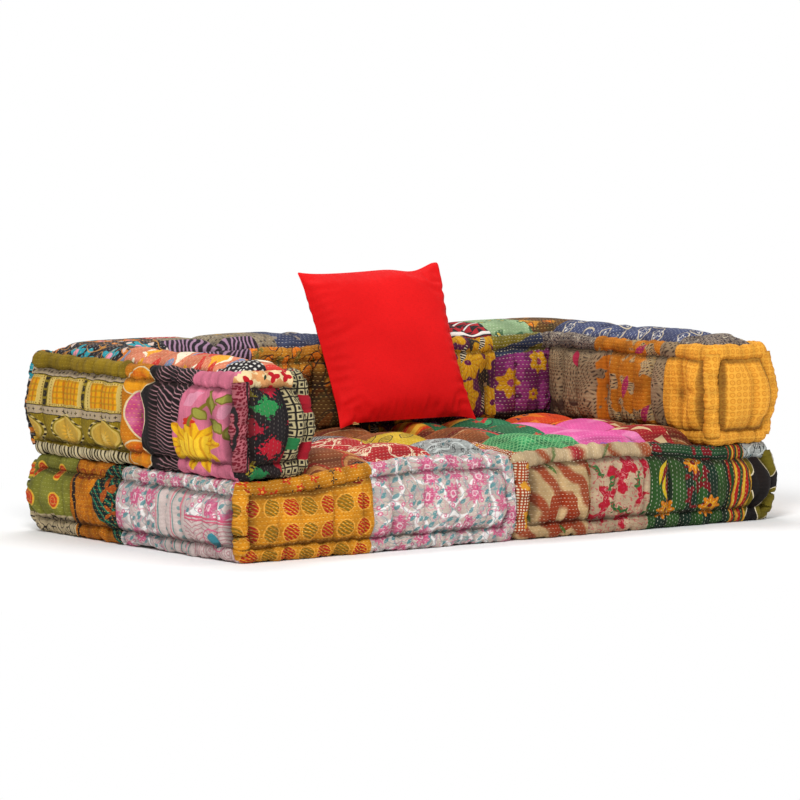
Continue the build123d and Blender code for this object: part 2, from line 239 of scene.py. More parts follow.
def stuffed_pad(name, points, faces, uvs, fabrics, shades, held):
    """A cover to be stuffed, pinned where it is sewn down."""
    loop_uvs = [[uvs[v] for v in face] for face in faces]
    piece = cloth_piece(name, points, faces, loop_uvs, fabrics, shades)
    group = piece.vertex_groups.new(name="sewn")
    group.add([i for i, sewn in enumerate(held) if sewn], 1.0, "REPLACE")
    return piece


def sewn_on(piece, body, node):
    """What a finished cover moves with, and the part it stands for, which it hides."""
    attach(piece, body)
    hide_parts(node)


def grid_faces(across, up):
    """The quads of a grid of places that are laid in rows."""
    faces = []
    for j in range(up):
        for i in range(across):
            corner = j * (across + 1) + i
            faces.append((corner, corner + 1, corner + across + 2, corner + across + 1))
    return faces


def tint(red, green, blue):
    """A colour of the cloth as the eye names it, from 0 to 255, as the shader wants it."""
    return (*[((c / 255 + 0.055) / 1.055) ** 2.4 for c in (red, green, blue)], 1.0)


def under(value, edge, soft=0.0012):
    """1 where a value is under an edge, with a slightly bled border."""
    return ((edge - value) / soft + 0.5).clamp()


def repeat(value, pitch, shift=0.0):
    """Distance to the middle of the nearest repeat of a print."""
    return ((value + shift) / pitch).math("FRACT") * pitch - pitch / 2


def reach(x, y):
    return (x * x + y * y).math("SQRT")


def disc(x, y, radius, soft=0.0012):
    return under(reach(x, y), radius, soft)


def ring(x, y, radius, half=0.0012):
    return under((reach(x, y) - radius).math("ABSOLUTE"), half)


def line(value, half, soft=0.0012):
    return under(value.math("ABSOLUTE"), half, soft)


def rows(value, pitch, half, shift=0.0, soft=0.0012):
    """Parallel stripes at a pitch, each as wide as two halves."""
    return line(repeat(value, pitch, shift), half, soft)


def spokes(x, y, count, half, soft):
    """Lines from the middle of a flower, as angles in radians."""
    return line(repeat(y.math("ARCTAN2", x), 2 * pi / count), half, soft)


def few(pick, share):
    """1 on the given share of scattered motifs."""
    return under(pick, share, 0.01)


def turned(x, y, degrees):
    c, s = cos(radians(degrees)), sin(radians(degrees))
    return x * c + y * s, y * c - x * s


def blossom(x, y, radius, petals, lobes=0.25, soft=0.0014):
    """A flower with round petals, seen from above."""
    edge = (y.math("ARCTAN2", x) * petals).math("COSINE") * (radius * lobes) + radius * (1 - lobes)
    return under(reach(x, y) - edge, 0.0, soft)


def leaf(x, y, length, width, soft=0.0012):
    """A pointed leaf along x."""
    return under(y.math("ABSOLUTE") + x * x * (width / length ** 2), width, soft)


def flat(u, v):
    return u.node("ShaderNodeCombineXYZ", {"X": u, "Y": v})


def grain(u, v, scale, detail=2.0):
    """Soft random value around 0.5, with features about 1/scale metres across."""
    inputs = {"Vector": flat(u, v), "Scale": scale, "Detail": detail}
    return u.node("ShaderNodeTexNoise", inputs, noise_dimensions="2D")


def blots(u, v, scale, edge, soft):
    """Spots with uneven outlines, where soft noise is under an edge."""
    return under(grain(u, v, scale), edge, soft)


def wavering(u, v, scale, amount):
    """The same place, pushed about by soft noise, for lines drawn by hand."""
    shift = grain(u, v, scale, 1.0) - 0.5
    other = grain(u + 3.7, v - 1.9, scale, 1.0) - 0.5
    return u + shift * amount, v + other * amount


def scatter(u, v, pitch, stray=0.8):
    """Place from the nearest of a random spread of motifs, and a random number for each motif."""
    inputs = {"Vector": flat(u, v), "Scale": 1 / pitch, "Randomness": stray}
    spread = u.node("ShaderNodeTexVoronoi", inputs, voronoi_dimensions="2D")
    x, y, _ = Cloth(u.tree, spread.socket.node.outputs["Position"]).split()
    pick = Cloth(u.tree, spread.socket.node.outputs["Color"])
    pick = pick.node("ShaderNodeSeparateColor", {0: pick})
    return u - x, v - y, pick


def vines(u, v, scale, half=0.03):
    """Thin wandering lines, like drawn tendrils."""
    return under((grain(u, v, scale, 0.0) - 0.5).math("ABSOLUTE"), half, 0.03)


def rice(u, v, degrees):
    """Short strokes in staggered, wandering rows."""
    pitch, length = 0.0066, 0.0062
    x, y = turned(*wavering(u, v, 14.0, 0.07), degrees)
    row = (y / pitch).math("FLOOR")
    return rows(y, pitch, 0.0013) * rows(x + row * (length * 1.37), length * 2, length * 0.55)


scraps = {}


def scrap(ground, stitch=None, upright=False, fade=0.12):
    """Registers a print: its ground, its running stitch and which way that runs. The print itself
    gives its dyes and masks in the order in which they are printed."""

    def keep(draw):
        scraps[draw.__name__] = (draw, ground, stitch, upright, fade)
        return draw

    return keep


stitch_row = 0.0085
stitch_length = 0.0045
stitch_stagger = 0.0041


def bare_cloth(name, mapped=True):
    """A new cloth material, and the place on its map or on its object."""
    material = bpy.data.materials.new(name)
    material.use_nodes = True
    tree = material.node_tree
    if not mapped:
        return material, Cloth(tree, tree.nodes.new("ShaderNodeTexCoord").outputs["Object"])
    place = tree.nodes.new("ShaderNodeUVMap")
    place.uv_map = "cloth"
    return material, Cloth(tree, place.outputs[0])


def finished_cloth(material, colour, roughness, height, strength, depth, sheen):
    """Joins a cloth's colour, roughness and relief to its shader."""
    shader = material.node_tree.nodes["Principled BSDF"]
    relief = {"Height": height, "Strength": strength, "Distance": depth}
    bump = height.node("ShaderNodeBump", relief)
    for name, value in (("Normal", bump), ("Base Color", colour), ("Roughness", roughness)):
        material.node_tree.links.new(value.socket, shader.inputs[name])
    shader.inputs["Specular IOR Level"].default_value = sheen
    return material


def between_dyes(mask, low, high):
    """A colour that runs from one dye to another with a mask."""
    return mask.node("ShaderNodeMix", {0: mask, 6: low, 7: high}, out=2, data_type="RGBA")


def printed_cotton(name):
    """Washed cotton with its print, uneven dye, running stitches, their puckers and painted crease shade."""
    draw, ground, stitch, upright, fade = scraps[name]
    material, spot = bare_cloth(name)
    u, v, _ = spot.split()
    wear = grain(u, v, 18.0)
    ground = tint(*ground)
    deep = tuple(c * (1 - 2.6 * fade) for c in ground[:3]) + (1.0,)
    colour = between_dyes((wear * 2.4 - 0.7).clamp(), deep, ground)
    for dye, mask in draw(*wavering(u, v, 35.0, 0.005)):
        colour = colour.mix(tint(*dye), mask)
    slub = grain(u, v, 520.0, 1.0)
    colour = colour.mix(tint(24, 14, 10), (slub - 0.5).math("ABSOLUTE") * 0.7)
    stain = (grain(u + 5.1, v, 9.0, 3.0) * 3.2 - 1.5).clamp()
    colour = colour.mix(tint(70, 40, 24), stain * 0.16)
    # Painted shade: the seam attribute darkens the print in seams, creases and hollows, unevenly with the
    # wear noise.
    seam = spot.node("ShaderNodeAttribute", {}, out="Fac", attribute_name="seam")
    colour = colour.mix(tint(26, 12, 8), (seam * (wear * 0.5 + 0.7)).clamp() * 0.7)
    along, over = (v, u) if upright else (u, v)
    over = over + (grain(u, v, 16.0, 1.0) - 0.5) * 0.006
    pucker = (over * (2 * pi / stitch_row)).math("COSINE")
    height = pucker * 0.3 + grain(u, v, 110.0, 3.0) * 1.9 + slub * 0.25
    if stitch:
        row = (over / stitch_row).math("FLOOR")
        thread = rows(over, stitch_row, 0.0005, 0.0, 0.0006)
        along = along + row * stitch_stagger
        thread = thread * rows(along, stitch_length * 2, stitch_length * 0.42, 0.0, 0.0008)
        colour = colour.mix(tint(*stitch), thread * (wear * 1.3 - 0.1).clamp())
        height = height + thread * 0.5
    return finished_cloth(material, colour, 0.88 - wear * 0.08, height, 0.7, 0.0013, 0.2)


cream = (236, 222, 190)
ink = (28, 24, 26)


@scrap((216, 142, 26), (250, 214, 120), fade=0.15)
def hatched_rounds(u, v):
    x, y = repeat(u, 0.046, 0.012), repeat(v, 0.052, 0.0155)
    inside = disc(x, y, 0.0178)
    hatch = rows(turned(u, v, 60)[0], 0.0066, 0.0021)
    red_turn = under(repeat(u, 0.092, 0.012), 0.0)
    yield (226, 158, 58), (disc(x, y, 0.0205) - inside) * 0.8
    yield (128, 96, 16), hatch * inside
    yield (172, 34, 16), hatch * red_turn * inside
    x, y, _ = scatter(u, v, 0.011, 0.7)
    yield (150, 84, 14), disc(x, y, 0.0012) * 0.7


@scrap((208, 134, 22), (250, 220, 140), fade=0.16)
def mustard_blossom(u, v):
    x, y, pick = scatter(u, v, 0.034, 0.6)
    red = blossom(x, y, 0.0135, 5, 0.3) * few(pick, 0.5)
    yield (196, 52, 16), red
    yield (240, 180, 60), disc(x, y, 0.003) * red
    star = blossom(x, y, 0.009, 4, 0.62) * (1 - few(pick, 0.62))
    yield ink, star


@scrap((207, 190, 178), (238, 232, 226), fade=0.08)
def pink_dahlia(u, v):
    yield (160, 156, 158), vines(u, v, 17.0, 0.06) * 0.6
    yield (238, 234, 230), vines(u + 0.9, v, 21.0, 0.05)
    yield (108, 150, 152), vines(u + 0.3, v * 1.3, 42.0, 0.026) * 0.8
    yield (206, 118, 144), vines(u + 0.6, v, 46.0, 0.022) * 0.8
    x, y, pick = scatter(u + 0.2, v, 0.019, 0.95)
    sprig = leaf(*turned(x, y, 40), 0.0085, 0.0042) * few(pick, 0.45)
    yield (70, 138, 142), sprig * 0.85
    bud = disc(x, y, 0.0046, 0.002) * (1 - few(pick, 0.66))
    yield (208, 104, 138), bud
    yield (236, 214, 214), disc(x, y, 0.002) * bud
    u1, v1 = wavering(u, v, 60.0, 0.011)
    x, y, pick = scatter(u1, v1 + 0.1, 0.062, 0.8)
    head = blossom(x, y, 0.0225, 11, 0.16, 0.003) * few(pick, 0.8)
    yield (206, 92, 132), head * (grain(u, v, 130.0) * 1.6).clamp()
    rays = spokes(x, y, 11, 0.1, 0.12) * (1 - disc(x, y, 0.007))
    yield (176, 60, 104), rays * head * 0.5
    yield (238, 216, 216), ring(x, y, 0.0055, 0.0011) * head * 0.8


@scrap((214, 196, 190), fade=0.08)
def pale_border(u, v):
    column = (1 - under(u, 0.54, 0.001)) * under(u, 0.66, 0.001)
    right = 1 - under(u, 0.66, 0.001)
    panel = right * under(v, 0.088, 0.001)
    field = 1 - (column + panel).clamp()
    for dye, mask in pink_dahlia(u, v):
        yield dye, mask * field
    arcs = rows(reach(repeat(u, 0.07, 0.01), v - 0.02), 0.009, 0.0012)
    twigs = vines(u, v, 60.0, 0.03)
    yield (178, 112, 122), (arcs + twigs * 0.7).clamp() * panel * 0.8
    rule = line(v - 0.091, 0.0022) + line(v - 0.0845, 0.0014)
    yield (206, 88, 116), rule * right
    x, y = turned(u - 0.755, v - 0.045, 70)
    yield (60, 142, 156), leaf(x, y, 0.0215, 0.014) * right
    yield (206, 96, 130), ring(u - 0.755, v - 0.045, 0.026, 0.0014) * right
    beads = disc(repeat(u, 0.06, 0.0), repeat(v, 0.016), 0.0045)
    yield (112, 150, 148), beads * column * 0.9
    bars = rows(u, 0.03, 0.0018, 0.005) * column
    yield (70, 140, 134), bars * 0.9
    yield (214, 120, 134), rows(u, 0.03, 0.0014, 0.012) * column


@scrap((206, 122, 16), (236, 180, 80), fade=0.2)
def teal_diamond(u, v):
    speckle = blots(u, v, 150.0, 0.45, 0.05)
    yield (150, 70, 12), speckle * 0.55
    wave = u - 0.182 - (v * 20.0).math("SINE") * 0.011
    yield ink, line(wave, 0.0035)
    flower = ring(repeat(u, 0.04, 0.01), v - 0.145, 0.011, 0.002)
    yield (150, 60, 14), flower
    diamond = under((u - 0.36).math("ABSOLUTE") + (v - 0.105).math("ABSOLUTE") * 0.85, 0.098, 0.002)
    x, _ = turned(u, v, 50)
    yield (16, 62, 50), diamond
    yield (8, 20, 22), rows(x, 0.017, 0.004) * diamond
    yield (36, 132, 96), rows(x, 0.017, 0.0012, 0.008) * diamond
    yield (160, 72, 20), blossom(u - 0.335, v - 0.12, 0.033, 3, 0.45) * diamond
    yield (160, 72, 20), blossom(u - 0.35, v - 0.07, 0.024, 5, 0.5) * diamond


@scrap((132, 132, 48), (176, 172, 96), fade=0.16)
def olive_suns(u, v):
    x, y = repeat(u, 0.085, 0.012), repeat(v, 0.062, 0.014)
    yield (222, 170, 50), disc(x, y, 0.0185)
    yield (196, 64, 22), disc(x, y, 0.0145)
    yield (226, 130, 60), ring(x, y, 0.008, 0.001)
    hem = under(v, 0.045, 0.002)
    yield (196, 176, 140), hem
    yield ink, vines(u, v, 60.0, 0.05) * hem


@scrap((168, 70, 34))
def rust_dots(u, v):
    dots = disc(repeat(u, 0.0065), repeat(v, 0.0065), 0.0018)
    yield cream, dots
    yield (216, 150, 40), blots(u, v, 30.0, 0.4, 0.05)


@scrap((206, 172, 122), (236, 218, 186), fade=0.14)
def tie_dye(u, v):
    u1, v1 = wavering(u, v, 22.0, 0.026)
    x, y = turned(u1, v1, 40)
    bands = rows(x, 0.054, 0.0115, 0.01, 0.007)
    yield (142, 44, 12), bands * 0.9
    swirl = ring(u1 - 0.097, v1 - 0.058, 0.032, 0.0125) * under(v, 0.105, 0.02)
    yield (146, 46, 12), swirl * 0.95
    yield (210, 178, 130), disc(u1 - 0.097, v1 - 0.058, 0.016, 0.012) * 0.9
    x, y, pick = scatter(u, v, 0.05, 0.9)
    stroke = leaf(*turned(x, y, -58), 0.021, 0.0042) * few(pick, 0.5)
    yield (66, 104, 40), stroke * 0.9


@scrap((198, 172, 140), fade=0.14)
def crimson_bloom(u, v):
    u1, v1 = wavering(u, v, 75.0, 0.022)
    for cx, cz, size, turn_by in (
        (0.255, 0.125, 0.032, 40), (0.215, 0.088, 0.024, 10), (0.2, 0.048, 0.023, 80),
        (0.31, 0.08, 0.02, 120), (0.285, 0.155, 0.022, 60), (0.33, 0.14, 0.02, 0),
        (0.27, 0.03, 0.02, 30), (0.245, 0.185, 0.018, 0),
    ):
        x, y = turned(u1 - cx, v1 - cz, turn_by)
        yield (168, 14, 38), blossom(x, y, size * 1.22, 3, 0.36, 0.004)
        yield (226, 150, 150), rows(x + y * 0.4, 0.008, 0.0008) * disc(x, y, size * 0.6) * 0.6
    for cx, cz, turn_by in (
        (0.235, 0.062, -40), (0.265, 0.05, -15), (0.225, 0.11, 60), (0.3, 0.115, 80),
        (0.19, 0.14, -50), (0.34, 0.05, 40),
    ):
        yield (44, 98, 48), leaf(*turned(u1 - cx, v1 - cz, turn_by), 0.021, 0.006)
    specks = blots(u1, v1, 170.0, 0.4, 0.03)
    yield (176, 40, 66), specks * 0.7


@scrap((44, 86, 36), (222, 222, 200), upright=True, fade=0.16)
def marigold(u, v):
    u1, _ = wavering(u, v, 9.0, 0.03)
    yield (12, 40, 26), rows(u1, 0.062, 0.014, 0.018)
    ornament = under(grain(u, v * 0.8, 48.0, 1.0), 0.47, 0.02)
    middle = line(u - 0.47, 0.036, 0.004) * under((v - 0.09).math("ABSOLUTE"), 0.045)
    yield (110, 14, 22), ornament * middle
    for cx, cz, radius, degrees in ((0.368, 0.13, 0.03, 55), (0.372, 0.09, 0.028, 100)):
        x, y = turned(u - cx, v - cz, degrees)
        hook = leaf(x, y + x * x * 12, radius, 0.0055)
        yield (206, 176, 30), hook
        yield (120, 26, 20), leaf(x, y + x * x * 12 + 0.009, radius, 0.0045)
    for cx, cz in ((0.462, 0.142), (0.385, 0.046), (0.508, 0.046), (0.58, 0.17), (0.34, 0.19)):
        x, y = u - cx, v - cz
        petals = blossom(x, y, 0.0265, 8, 0.17)
        yield (214, 128, 12), petals
        shade = spokes(x, y, 16, 0.05, 0.08)
        yield (150, 62, 8), shade * petals * 0.7
        yield (238, 178, 40), blossom(x, y, 0.0165, 8, 0.3) * 0.7
        yield (120, 26, 14), disc(x, y, 0.0058)


@scrap((168, 26, 22), (226, 196, 120), upright=True)
def bright_stripe(u, v):
    u1, _ = wavering(u, v, 9.0, 0.02)
    yield (206, 160, 44), rows(u1, 0.019, 0.0024)
    yield (28, 66, 36), rows(u1, 0.019, 0.0032, 0.007)


@scrap((22, 20, 20))
def black_olive(u, v):
    u1, v1 = wavering(u, v, 12.0, 0.03)
    x, y = repeat(u1, 0.075, 0.03), repeat(v1, 0.095, 0.01)
    yield cream, leaf(*turned(x, y, 60), 0.043, 0.0255)
    yield (108, 96, 20), leaf(*turned(x, y, 60), 0.0405, 0.0235)


@scrap((132, 52, 26), (226, 178, 120))
def rust_ogee(u, v):
    x, y = repeat(u, 0.04), repeat(v + (u / 0.04).math("FLOOR") * 0.03, 0.06)
    yield (214, 150, 60), leaf(y, x, 0.026, 0.015)
    yield (92, 28, 22), leaf(y, x, 0.02, 0.010)
    yield cream, disc(x, y, 0.0035)


@scrap((50, 150, 88), (150, 214, 160))
def green_crosshatch(u, v):
    yield (20, 92, 54), rows(turned(u, v, 38)[0], 0.055, 0.012, soft=0.005) * 0.75
    a, b = turned(u, v, 45)
    hatch = rows(a, 0.0085, 0.0011) + rows(b, 0.0085, 0.0011)
    yield (146, 208, 140), hatch.clamp() * 0.55


def fabric_along(patches, distance):
    for end, fabric in patches:
        if distance <= end:
            return fabric
    return patches[-1][1]


def belly(share, fraction):
    """Rise of stuffed cloth from its sewn side, 0 to 1, full from a fraction of its width."""
    near = min(share, 1 - share) / fraction
    return 1.0 if near >= 1 else sqrt(1 - (1 - near) ** 2)


wall_pitch = 0.0062
wall_tuck = 0.003
wall_inset = 0.009
wall_belly = 0.029
wall_cap = 0.0095
split_belly = 0.013
split_cap = 0.002
corner_clear = 0.03
crease_depth = 0.46
crease_half = 0.0072
crease_gap = 0.055
crease_gap_spread = 0.035
crease_sway = 0.006
seam_crease_half = 0.006
pinch_crease_half = 0.012
swell_share_up = 0.36
swell_from_end = 0.04
pleat_pitch = 0.026
pleat_depth = 0.0032
pleat_reach = 0.03
wrinkle_depth = 0.0022
lean_reach = 0.07
roll_shadow_start = 0.0095
roll_shadow_reach = 0.0038
pinch_reach = 0.034
pinch_shadow = 0.011
pinch_hold = 0.0065
upright_bow = 0.0135


def corner_leans(walls):
    """How far the upright at each corner leans out of it at mid-height."""
    leans = []
    for index, (place, _, _) in enumerate(walls):
        spot, before = Vector(place), Vector(walls[index - 1][0])
        after = Vector(walls[(index + 1) % len(walls)][0])
        lean = ((spot - before).normalized() - (after - spot).normalized()) * upright_bow
        if abs(abs(spot.x) - split_x) < 0.001:
            lean.x = 0.0
        leans.append(lean.to_3d())
    return leans


def wall_pad(block, wall, start, end, low_z, top_z_at, patches, pinches, leans, seed):
    """The pad of one wall, from corner to corner as seen from outside, left to right."""
    along = Vector((end[0] - start[0], end[1] - start[1], 0))
    length = along.length
    along.normalize()
    outward = Vector((along.y, -along.x, 0))
    across = round(length / wall_pitch)
    up = round((top_z_at(*start) - low_z) / wall_pitch) + 1
    full, cap = (split_belly, split_cap) if wall == "split_wall" else (wall_belly, wall_cap)
    rng = np.random.default_rng(seed)
    joins = [end_of for end_of, _ in patches if corner_clear < end_of < length - corner_clear]
    creases = [(join, 0.9, seam_crease_half) for join in joins]
    place = 0.0
    while place < length:
        place += crease_gap + crease_gap_spread * rng.random()
        creases.append((place, 0.3 + 0.7 * rng.random(), crease_half))
    creases += [(pinch_u, 1.1, pinch_crease_half) for pinch_u, _, _ in pinches]
    points, uvs, pinned, shades = [], [], [], []
    for j in range(up + 1):
        for i in range(across + 1):
            u = wall_inset + (length - 2 * wall_inset) * i / across
            spot = Vector((start[0], start[1], 0)) + along * u
            high_z = top_z_at(spot.x, spot.y) - wall_inset
            z = low_z + wall_inset + (high_z - low_z - wall_inset) * j / up
            rise = belly(j / up, swell_share_up) * belly(i / across, swell_from_end / length)
            sway = crease_sway * soft_noise(z, seed, u, 18.0, seed)
            slack, shade = 1.0, 0.0
            for centre, depth, half in creases:
                gap = (u + sway - centre) / half
                slack -= crease_depth * depth * exp(-(gap ** 2))
                shade += 0.45 * depth * rise * exp(-((1.7 * gap) ** 2))
            offset = wall_tuck + full * rise * max(0.2, slack)
            seam = min(z - low_z, high_z + wall_inset - z) - wall_inset
            out_of_roll = min(seam, u - wall_inset, length - wall_inset - u) - roll_shadow_start
            shade = max(shade, exp(-((max(0.0, out_of_roll) / roll_shadow_reach) ** 2)))
            gather = cos(2 * pi * (u / pleat_pitch + 0.8 * soft_noise(u, 0, seed, 14.0, seed)))
            rise *= min(1.0, full / wall_belly)
            offset += pleat_depth * gather * rise * exp(-((seam / pleat_reach) ** 2))
            offset += wrinkle_depth * rise * soft_noise(u, z, seed, 30.0, seed)
            sewn = i in (0, across) or j in (0, up)
            for pinch_u, pinch_z, pinch_depth in pinches:
                reach = sqrt((u - pinch_u) ** 2 + (0.6 * (z - pinch_z)) ** 2)
                offset += (pinch_depth - offset) * exp(-((reach / pinch_reach) ** 2))
                shade = max(shade, exp(-((reach / pinch_shadow) ** 2)))
                sewn = sewn or reach < pinch_hold
            mid = sin(pi * j / up) ** 1.5 if 0 < j < up else 0.0
            spot = spot + outward * offset + leans[0] * (mid * exp(-((u / lean_reach) ** 2)))
            spot = spot + leans[1] * (mid * exp(-(((length - u) / lean_reach) ** 2)))
            shades.append(min(1.0, shade))
            points.append((spot.x, spot.y, z))
            uvs.append((u, z))
            pinned.append(sewn)
    faces = grid_faces(across, up)
    middles = [wall_inset + (length - 2 * wall_inset) * (i + 0.5) / across for i in range(across)]
    fabrics = [fabric_along(patches, u) for u in middles] * up
    node = f"{block}_{wall}"
    piece = stuffed_pad(f"{node}_cover", points, faces, uvs, fabrics, shades, pinned)
    pads.append((piece, node, block, cap))


def sew_walls(blocks, low_z, top_z_at, pinches_of, seed):
    """The pads of all walls of two blocks."""
    for block_index, (block, walls) in enumerate(blocks.items()):
        leans = corner_leans(walls)
        for index, (start, wall, patches) in enumerate(walls):
            ahead = (index + 1) % len(walls)
            end = walls[ahead][0]
            wall_pad(
                block, wall, start, end, low_z, top_z_at, patches, pinches_of(start, end),
                (leans[index], leans[ahead]), seed + 10 * block_index + index,
            )


seat_walls = {
    "seat_left": [
        ((-outer_x, front_y), "front_wall", [(0.318, "hatched_rounds"), (0.8, "pink_dahlia")]),
        ((-split_x, front_y), "split_wall", [(0.35, "pink_dahlia"), (0.9, "rust_ogee")]),
        ((-split_x, rear_y), "rear_wall",
         [(0.25, "marigold"), (0.5, "green_crosshatch"), (0.8, "olive_suns")]),
        ((-outer_x, rear_y), "outer_wall",
         [(0.175, "olive_suns"), (0.37, "teal_diamond"), (0.9, "pale_border")]),
    ],
    "seat_right": [
        ((split_x, front_y), "front_wall",
         [(0.175, "tie_dye"), (0.342, "crimson_bloom"), (0.567, "marigold"),
          (0.618, "bright_stripe"), (0.8, "black_olive")]),
        ((outer_x, front_y), "outer_wall",
         [(0.2, "black_olive"), (0.52, "hatched_rounds"), (0.9, "crimson_bloom")]),
        ((outer_x, rear_y), "rear_wall",
         [(0.3, "pale_border"), (0.52, "rust_ogee"), (0.8, "marigold")]),
        ((split_x, rear_y), "split_wall", [(0.4, "tie_dye"), (0.9, "rust_dots")]),
    ],
}
sew_walls(seat_walls, seat_bottom_z, seat_edge_z, lambda start, end: [], 0)

# Tops of the seat blocks: large scraps pieced across, pulled down by knotted ties into four deep
# dimples, so that nine lumps stand up where the seat is free; flat under the backrest blocks.
top_pitch = 0.0095
top_inset = 0.009
hollow_probes = ((0.011, 0), (-0.011, 0), (0, 0.011), (0, -0.011))
lump_crest = 0.0365
seat_z = 0.175
tuft_z = 0.1795
valley_rise = 0.02
free_edge = 0.05
seat_tuft_reach = 0.026
tuft_hold = 0.008


def plan_grid(west, east, south, north, pitch, covers):
    """A grid over the part of a plan that covers() is true for: places, quads and their middles."""
    nx, ny = round((east - west) / pitch), round((north - south) / pitch)
    index, places, faces, middles = {}, [], [], []
    for j in range(ny):
        for i in range(nx):
            middle = west + (east - west) * (i + 0.5) / nx, south + (north - south) * (j + 0.5) / ny
            if not covers(*middle):
                continue
            corners = [(i, j), (i + 1, j), (i + 1, j + 1), (i, j + 1)]
            for a, b in corners:
                if (a, b) not in index:
                    index[(a, b)] = len(places)
                    places.append((west + (east - west) * a / nx, south + (north - south) * b / ny))
            faces.append([index[corner] for corner in corners])
            middles.append(middle)
    return places, faces, middles


def sew_tops(tops, covers, height, held, cap):
    """The top sheets of two blocks, shaded in their hollows and along their seams."""
    for block, patches in tops.items():
        side = -1 if "left" in block else 1
        west, east = sorted((side * (split_x + top_inset), side * (outer_x - top_inset)))
        south, north = front_y + top_inset, rear_y - top_inset
        places, faces, middles = plan_grid(west, east, south, north, top_pitch, covers)
        fabrics = []
        for x, y in middles:
            fits = (f for x0, x1, y0, y1, f in patches if x0 <= x < x1 and y0 <= y < y1)
            fabrics.append(next(fits))
        used = [0] * len(places)
        for corner in (corner for face in faces for corner in face):
            used[corner] += 1
        points, pinned, shades = [], [], []
        for (x, y), count in zip(places, used):
            z = height(x, y)
            seam = count < 4
            hollow = sum(height(x + a, y + b) for a, b in hollow_probes) - 4 * z
            points.append((x, y, z))
            pinned.append(seam or held(x, y))
            shades.append(1.0 if seam else max(0.0, min(0.85, hollow / 0.006)))
        piece = stuffed_pad(f"{block}_top_cover", points, faces, places, fabrics, shades, pinned)
        pads.append((piece, f"{block}_top_panel", block, cap))


@scrap((136, 72, 40), (214, 170, 120))
def brown_rounds(u, v):
    x, y, _ = scatter(u, v, 0.085, 0.5)
    yield (190, 128, 70), ring(x, y, 0.03, 0.004)
    yield ink, leaf(*turned(x, y, 20), 0.03, 0.016)
    yield (168, 52, 34), ring(x, y, 0.038, 0.0022)


@scrap((186, 36, 40), (240, 214, 190))
def red_floral(u, v):
    u1, v1 = wavering(u, v, 30.0, 0.03)
    x, y, pick = scatter(u1, v1, 0.062, 0.8)
    petals = blossom(x, y, 0.029, 4, 0.4) * few(pick, 0.62)
    yield (230, 204, 168), petals
    yield (186, 40, 42), rows(x - y, 0.010, 0.0017) * petals
    yield (234, 212, 178), vines(u1 + 0.4, v1, 26.0, 0.035)


@scrap((164, 168, 164), (232, 232, 226), fade=0.1)
def grey_floral(u, v):
    yield (36, 42, 46), vines(u, v, 40.0, 0.03)
    yield (206, 212, 208), vines(u + 0.5, v, 30.0, 0.05) * 0.8
    x, y, pick = scatter(u, v, 0.03, 0.9)
    yield (70, 118, 122), leaf(*turned(x, y, 50), 0.0105, 0.0034) * few(pick, 0.5)
    yield ink, rows(turned(x, y, -30)[0], 0.004, 0.0007) * disc(x, y, 0.009)


@scrap((208, 204, 196))
def small_check(u, v):
    check = rows(u, 0.0095, 0.0024) + rows(v, 0.0095, 0.0024)
    yield (58, 52, 52), check.clamp()


@scrap((214, 176, 44), (246, 226, 150))
def yellow_leaf(u, v):
    x, y, _ = scatter(u, v, 0.06, 0.6)
    x, y = turned(x, y, 35)
    outline = leaf(x, y, 0.032, 0.014) - leaf(x, y, 0.028, 0.0115)
    yield ink, outline.clamp()
    yield ink, rows(x, 0.008, 0.0012) * leaf(x, y, 0.026, 0.01)


@scrap((160, 88, 44), (214, 170, 118), fade=0.18)
def tan_rust(u, v):
    u1, v1 = wavering(u, v, 10.0, 0.03)
    bands = rows(v1 + u1 * 0.35, 0.11, 0.011, 0.03, 0.006)
    yield (106, 34, 20), bands
    edge = rows(v1 + u1 * 0.35, 0.11, 0.0024, 0.046)
    yield (210, 176, 128), edge * 0.6
    yield (108, 62, 34), blots(u, v, 120.0, 0.46, 0.05) * 0.6


@scrap((232, 96, 166), (248, 176, 212), fade=0.07)
def plain_pink(u, v):
    blot = blots(u, v, 11.0, 0.29, 0.02)
    yield (110, 92, 196), blot * 0.8
    yield (246, 170, 208), blots(u + 1, v, 10.0, 0.4, 0.12) * 0.4


@scrap((168, 28, 36), (226, 160, 120))
def red_flame(u, v):
    x, y = turned(u, v, 20)
    flame = under(repeat(x, 0.05).math("ABSOLUTE") - repeat(y, 0.06, 0.02) * 0.35, 0.006, 0.002)
    yield (214, 186, 140), flame
    yield (214, 150, 60), (1 - under(u, 0.5, 0.003)) * 0.9


@scrap((40, 112, 72), (130, 200, 150))
def dotted_band(u, v):
    x, y = turned(u - 0.05, v, -58)
    band = line(y + 0.01, 0.016, 0.001)
    yield (22, 20, 24), band
    bead = disc(repeat(x, 0.011), y + 0.01, 0.0034) * band
    yield cream, bead
    red = line(y - 0.014, 0.0075, 0.001) + line(y + 0.035, 0.0055, 0.001)
    yield (190, 40, 52), red.clamp()
    x, y, _ = scatter(u, v, 0.07, 0.7)
    yield (196, 60, 52), blossom(x, y, 0.012, 5, 0.3) * (1 - band)


@scrap((40, 116, 76), (140, 208, 160))
def green_leaf(u, v):
    x, y, _ = scatter(u, v, 0.075, 0.5)
    outline = leaf(*turned(x, y, 25), 0.036, 0.02)
    yield (20, 52, 40), outline
    yield (60, 150, 96), leaf(*turned(x, y, 25), 0.032, 0.0165)
    yield (210, 40, 44), disc(x, y, 0.006)
    yield (190, 30, 40), rows(u - v, 0.085, 0.006)


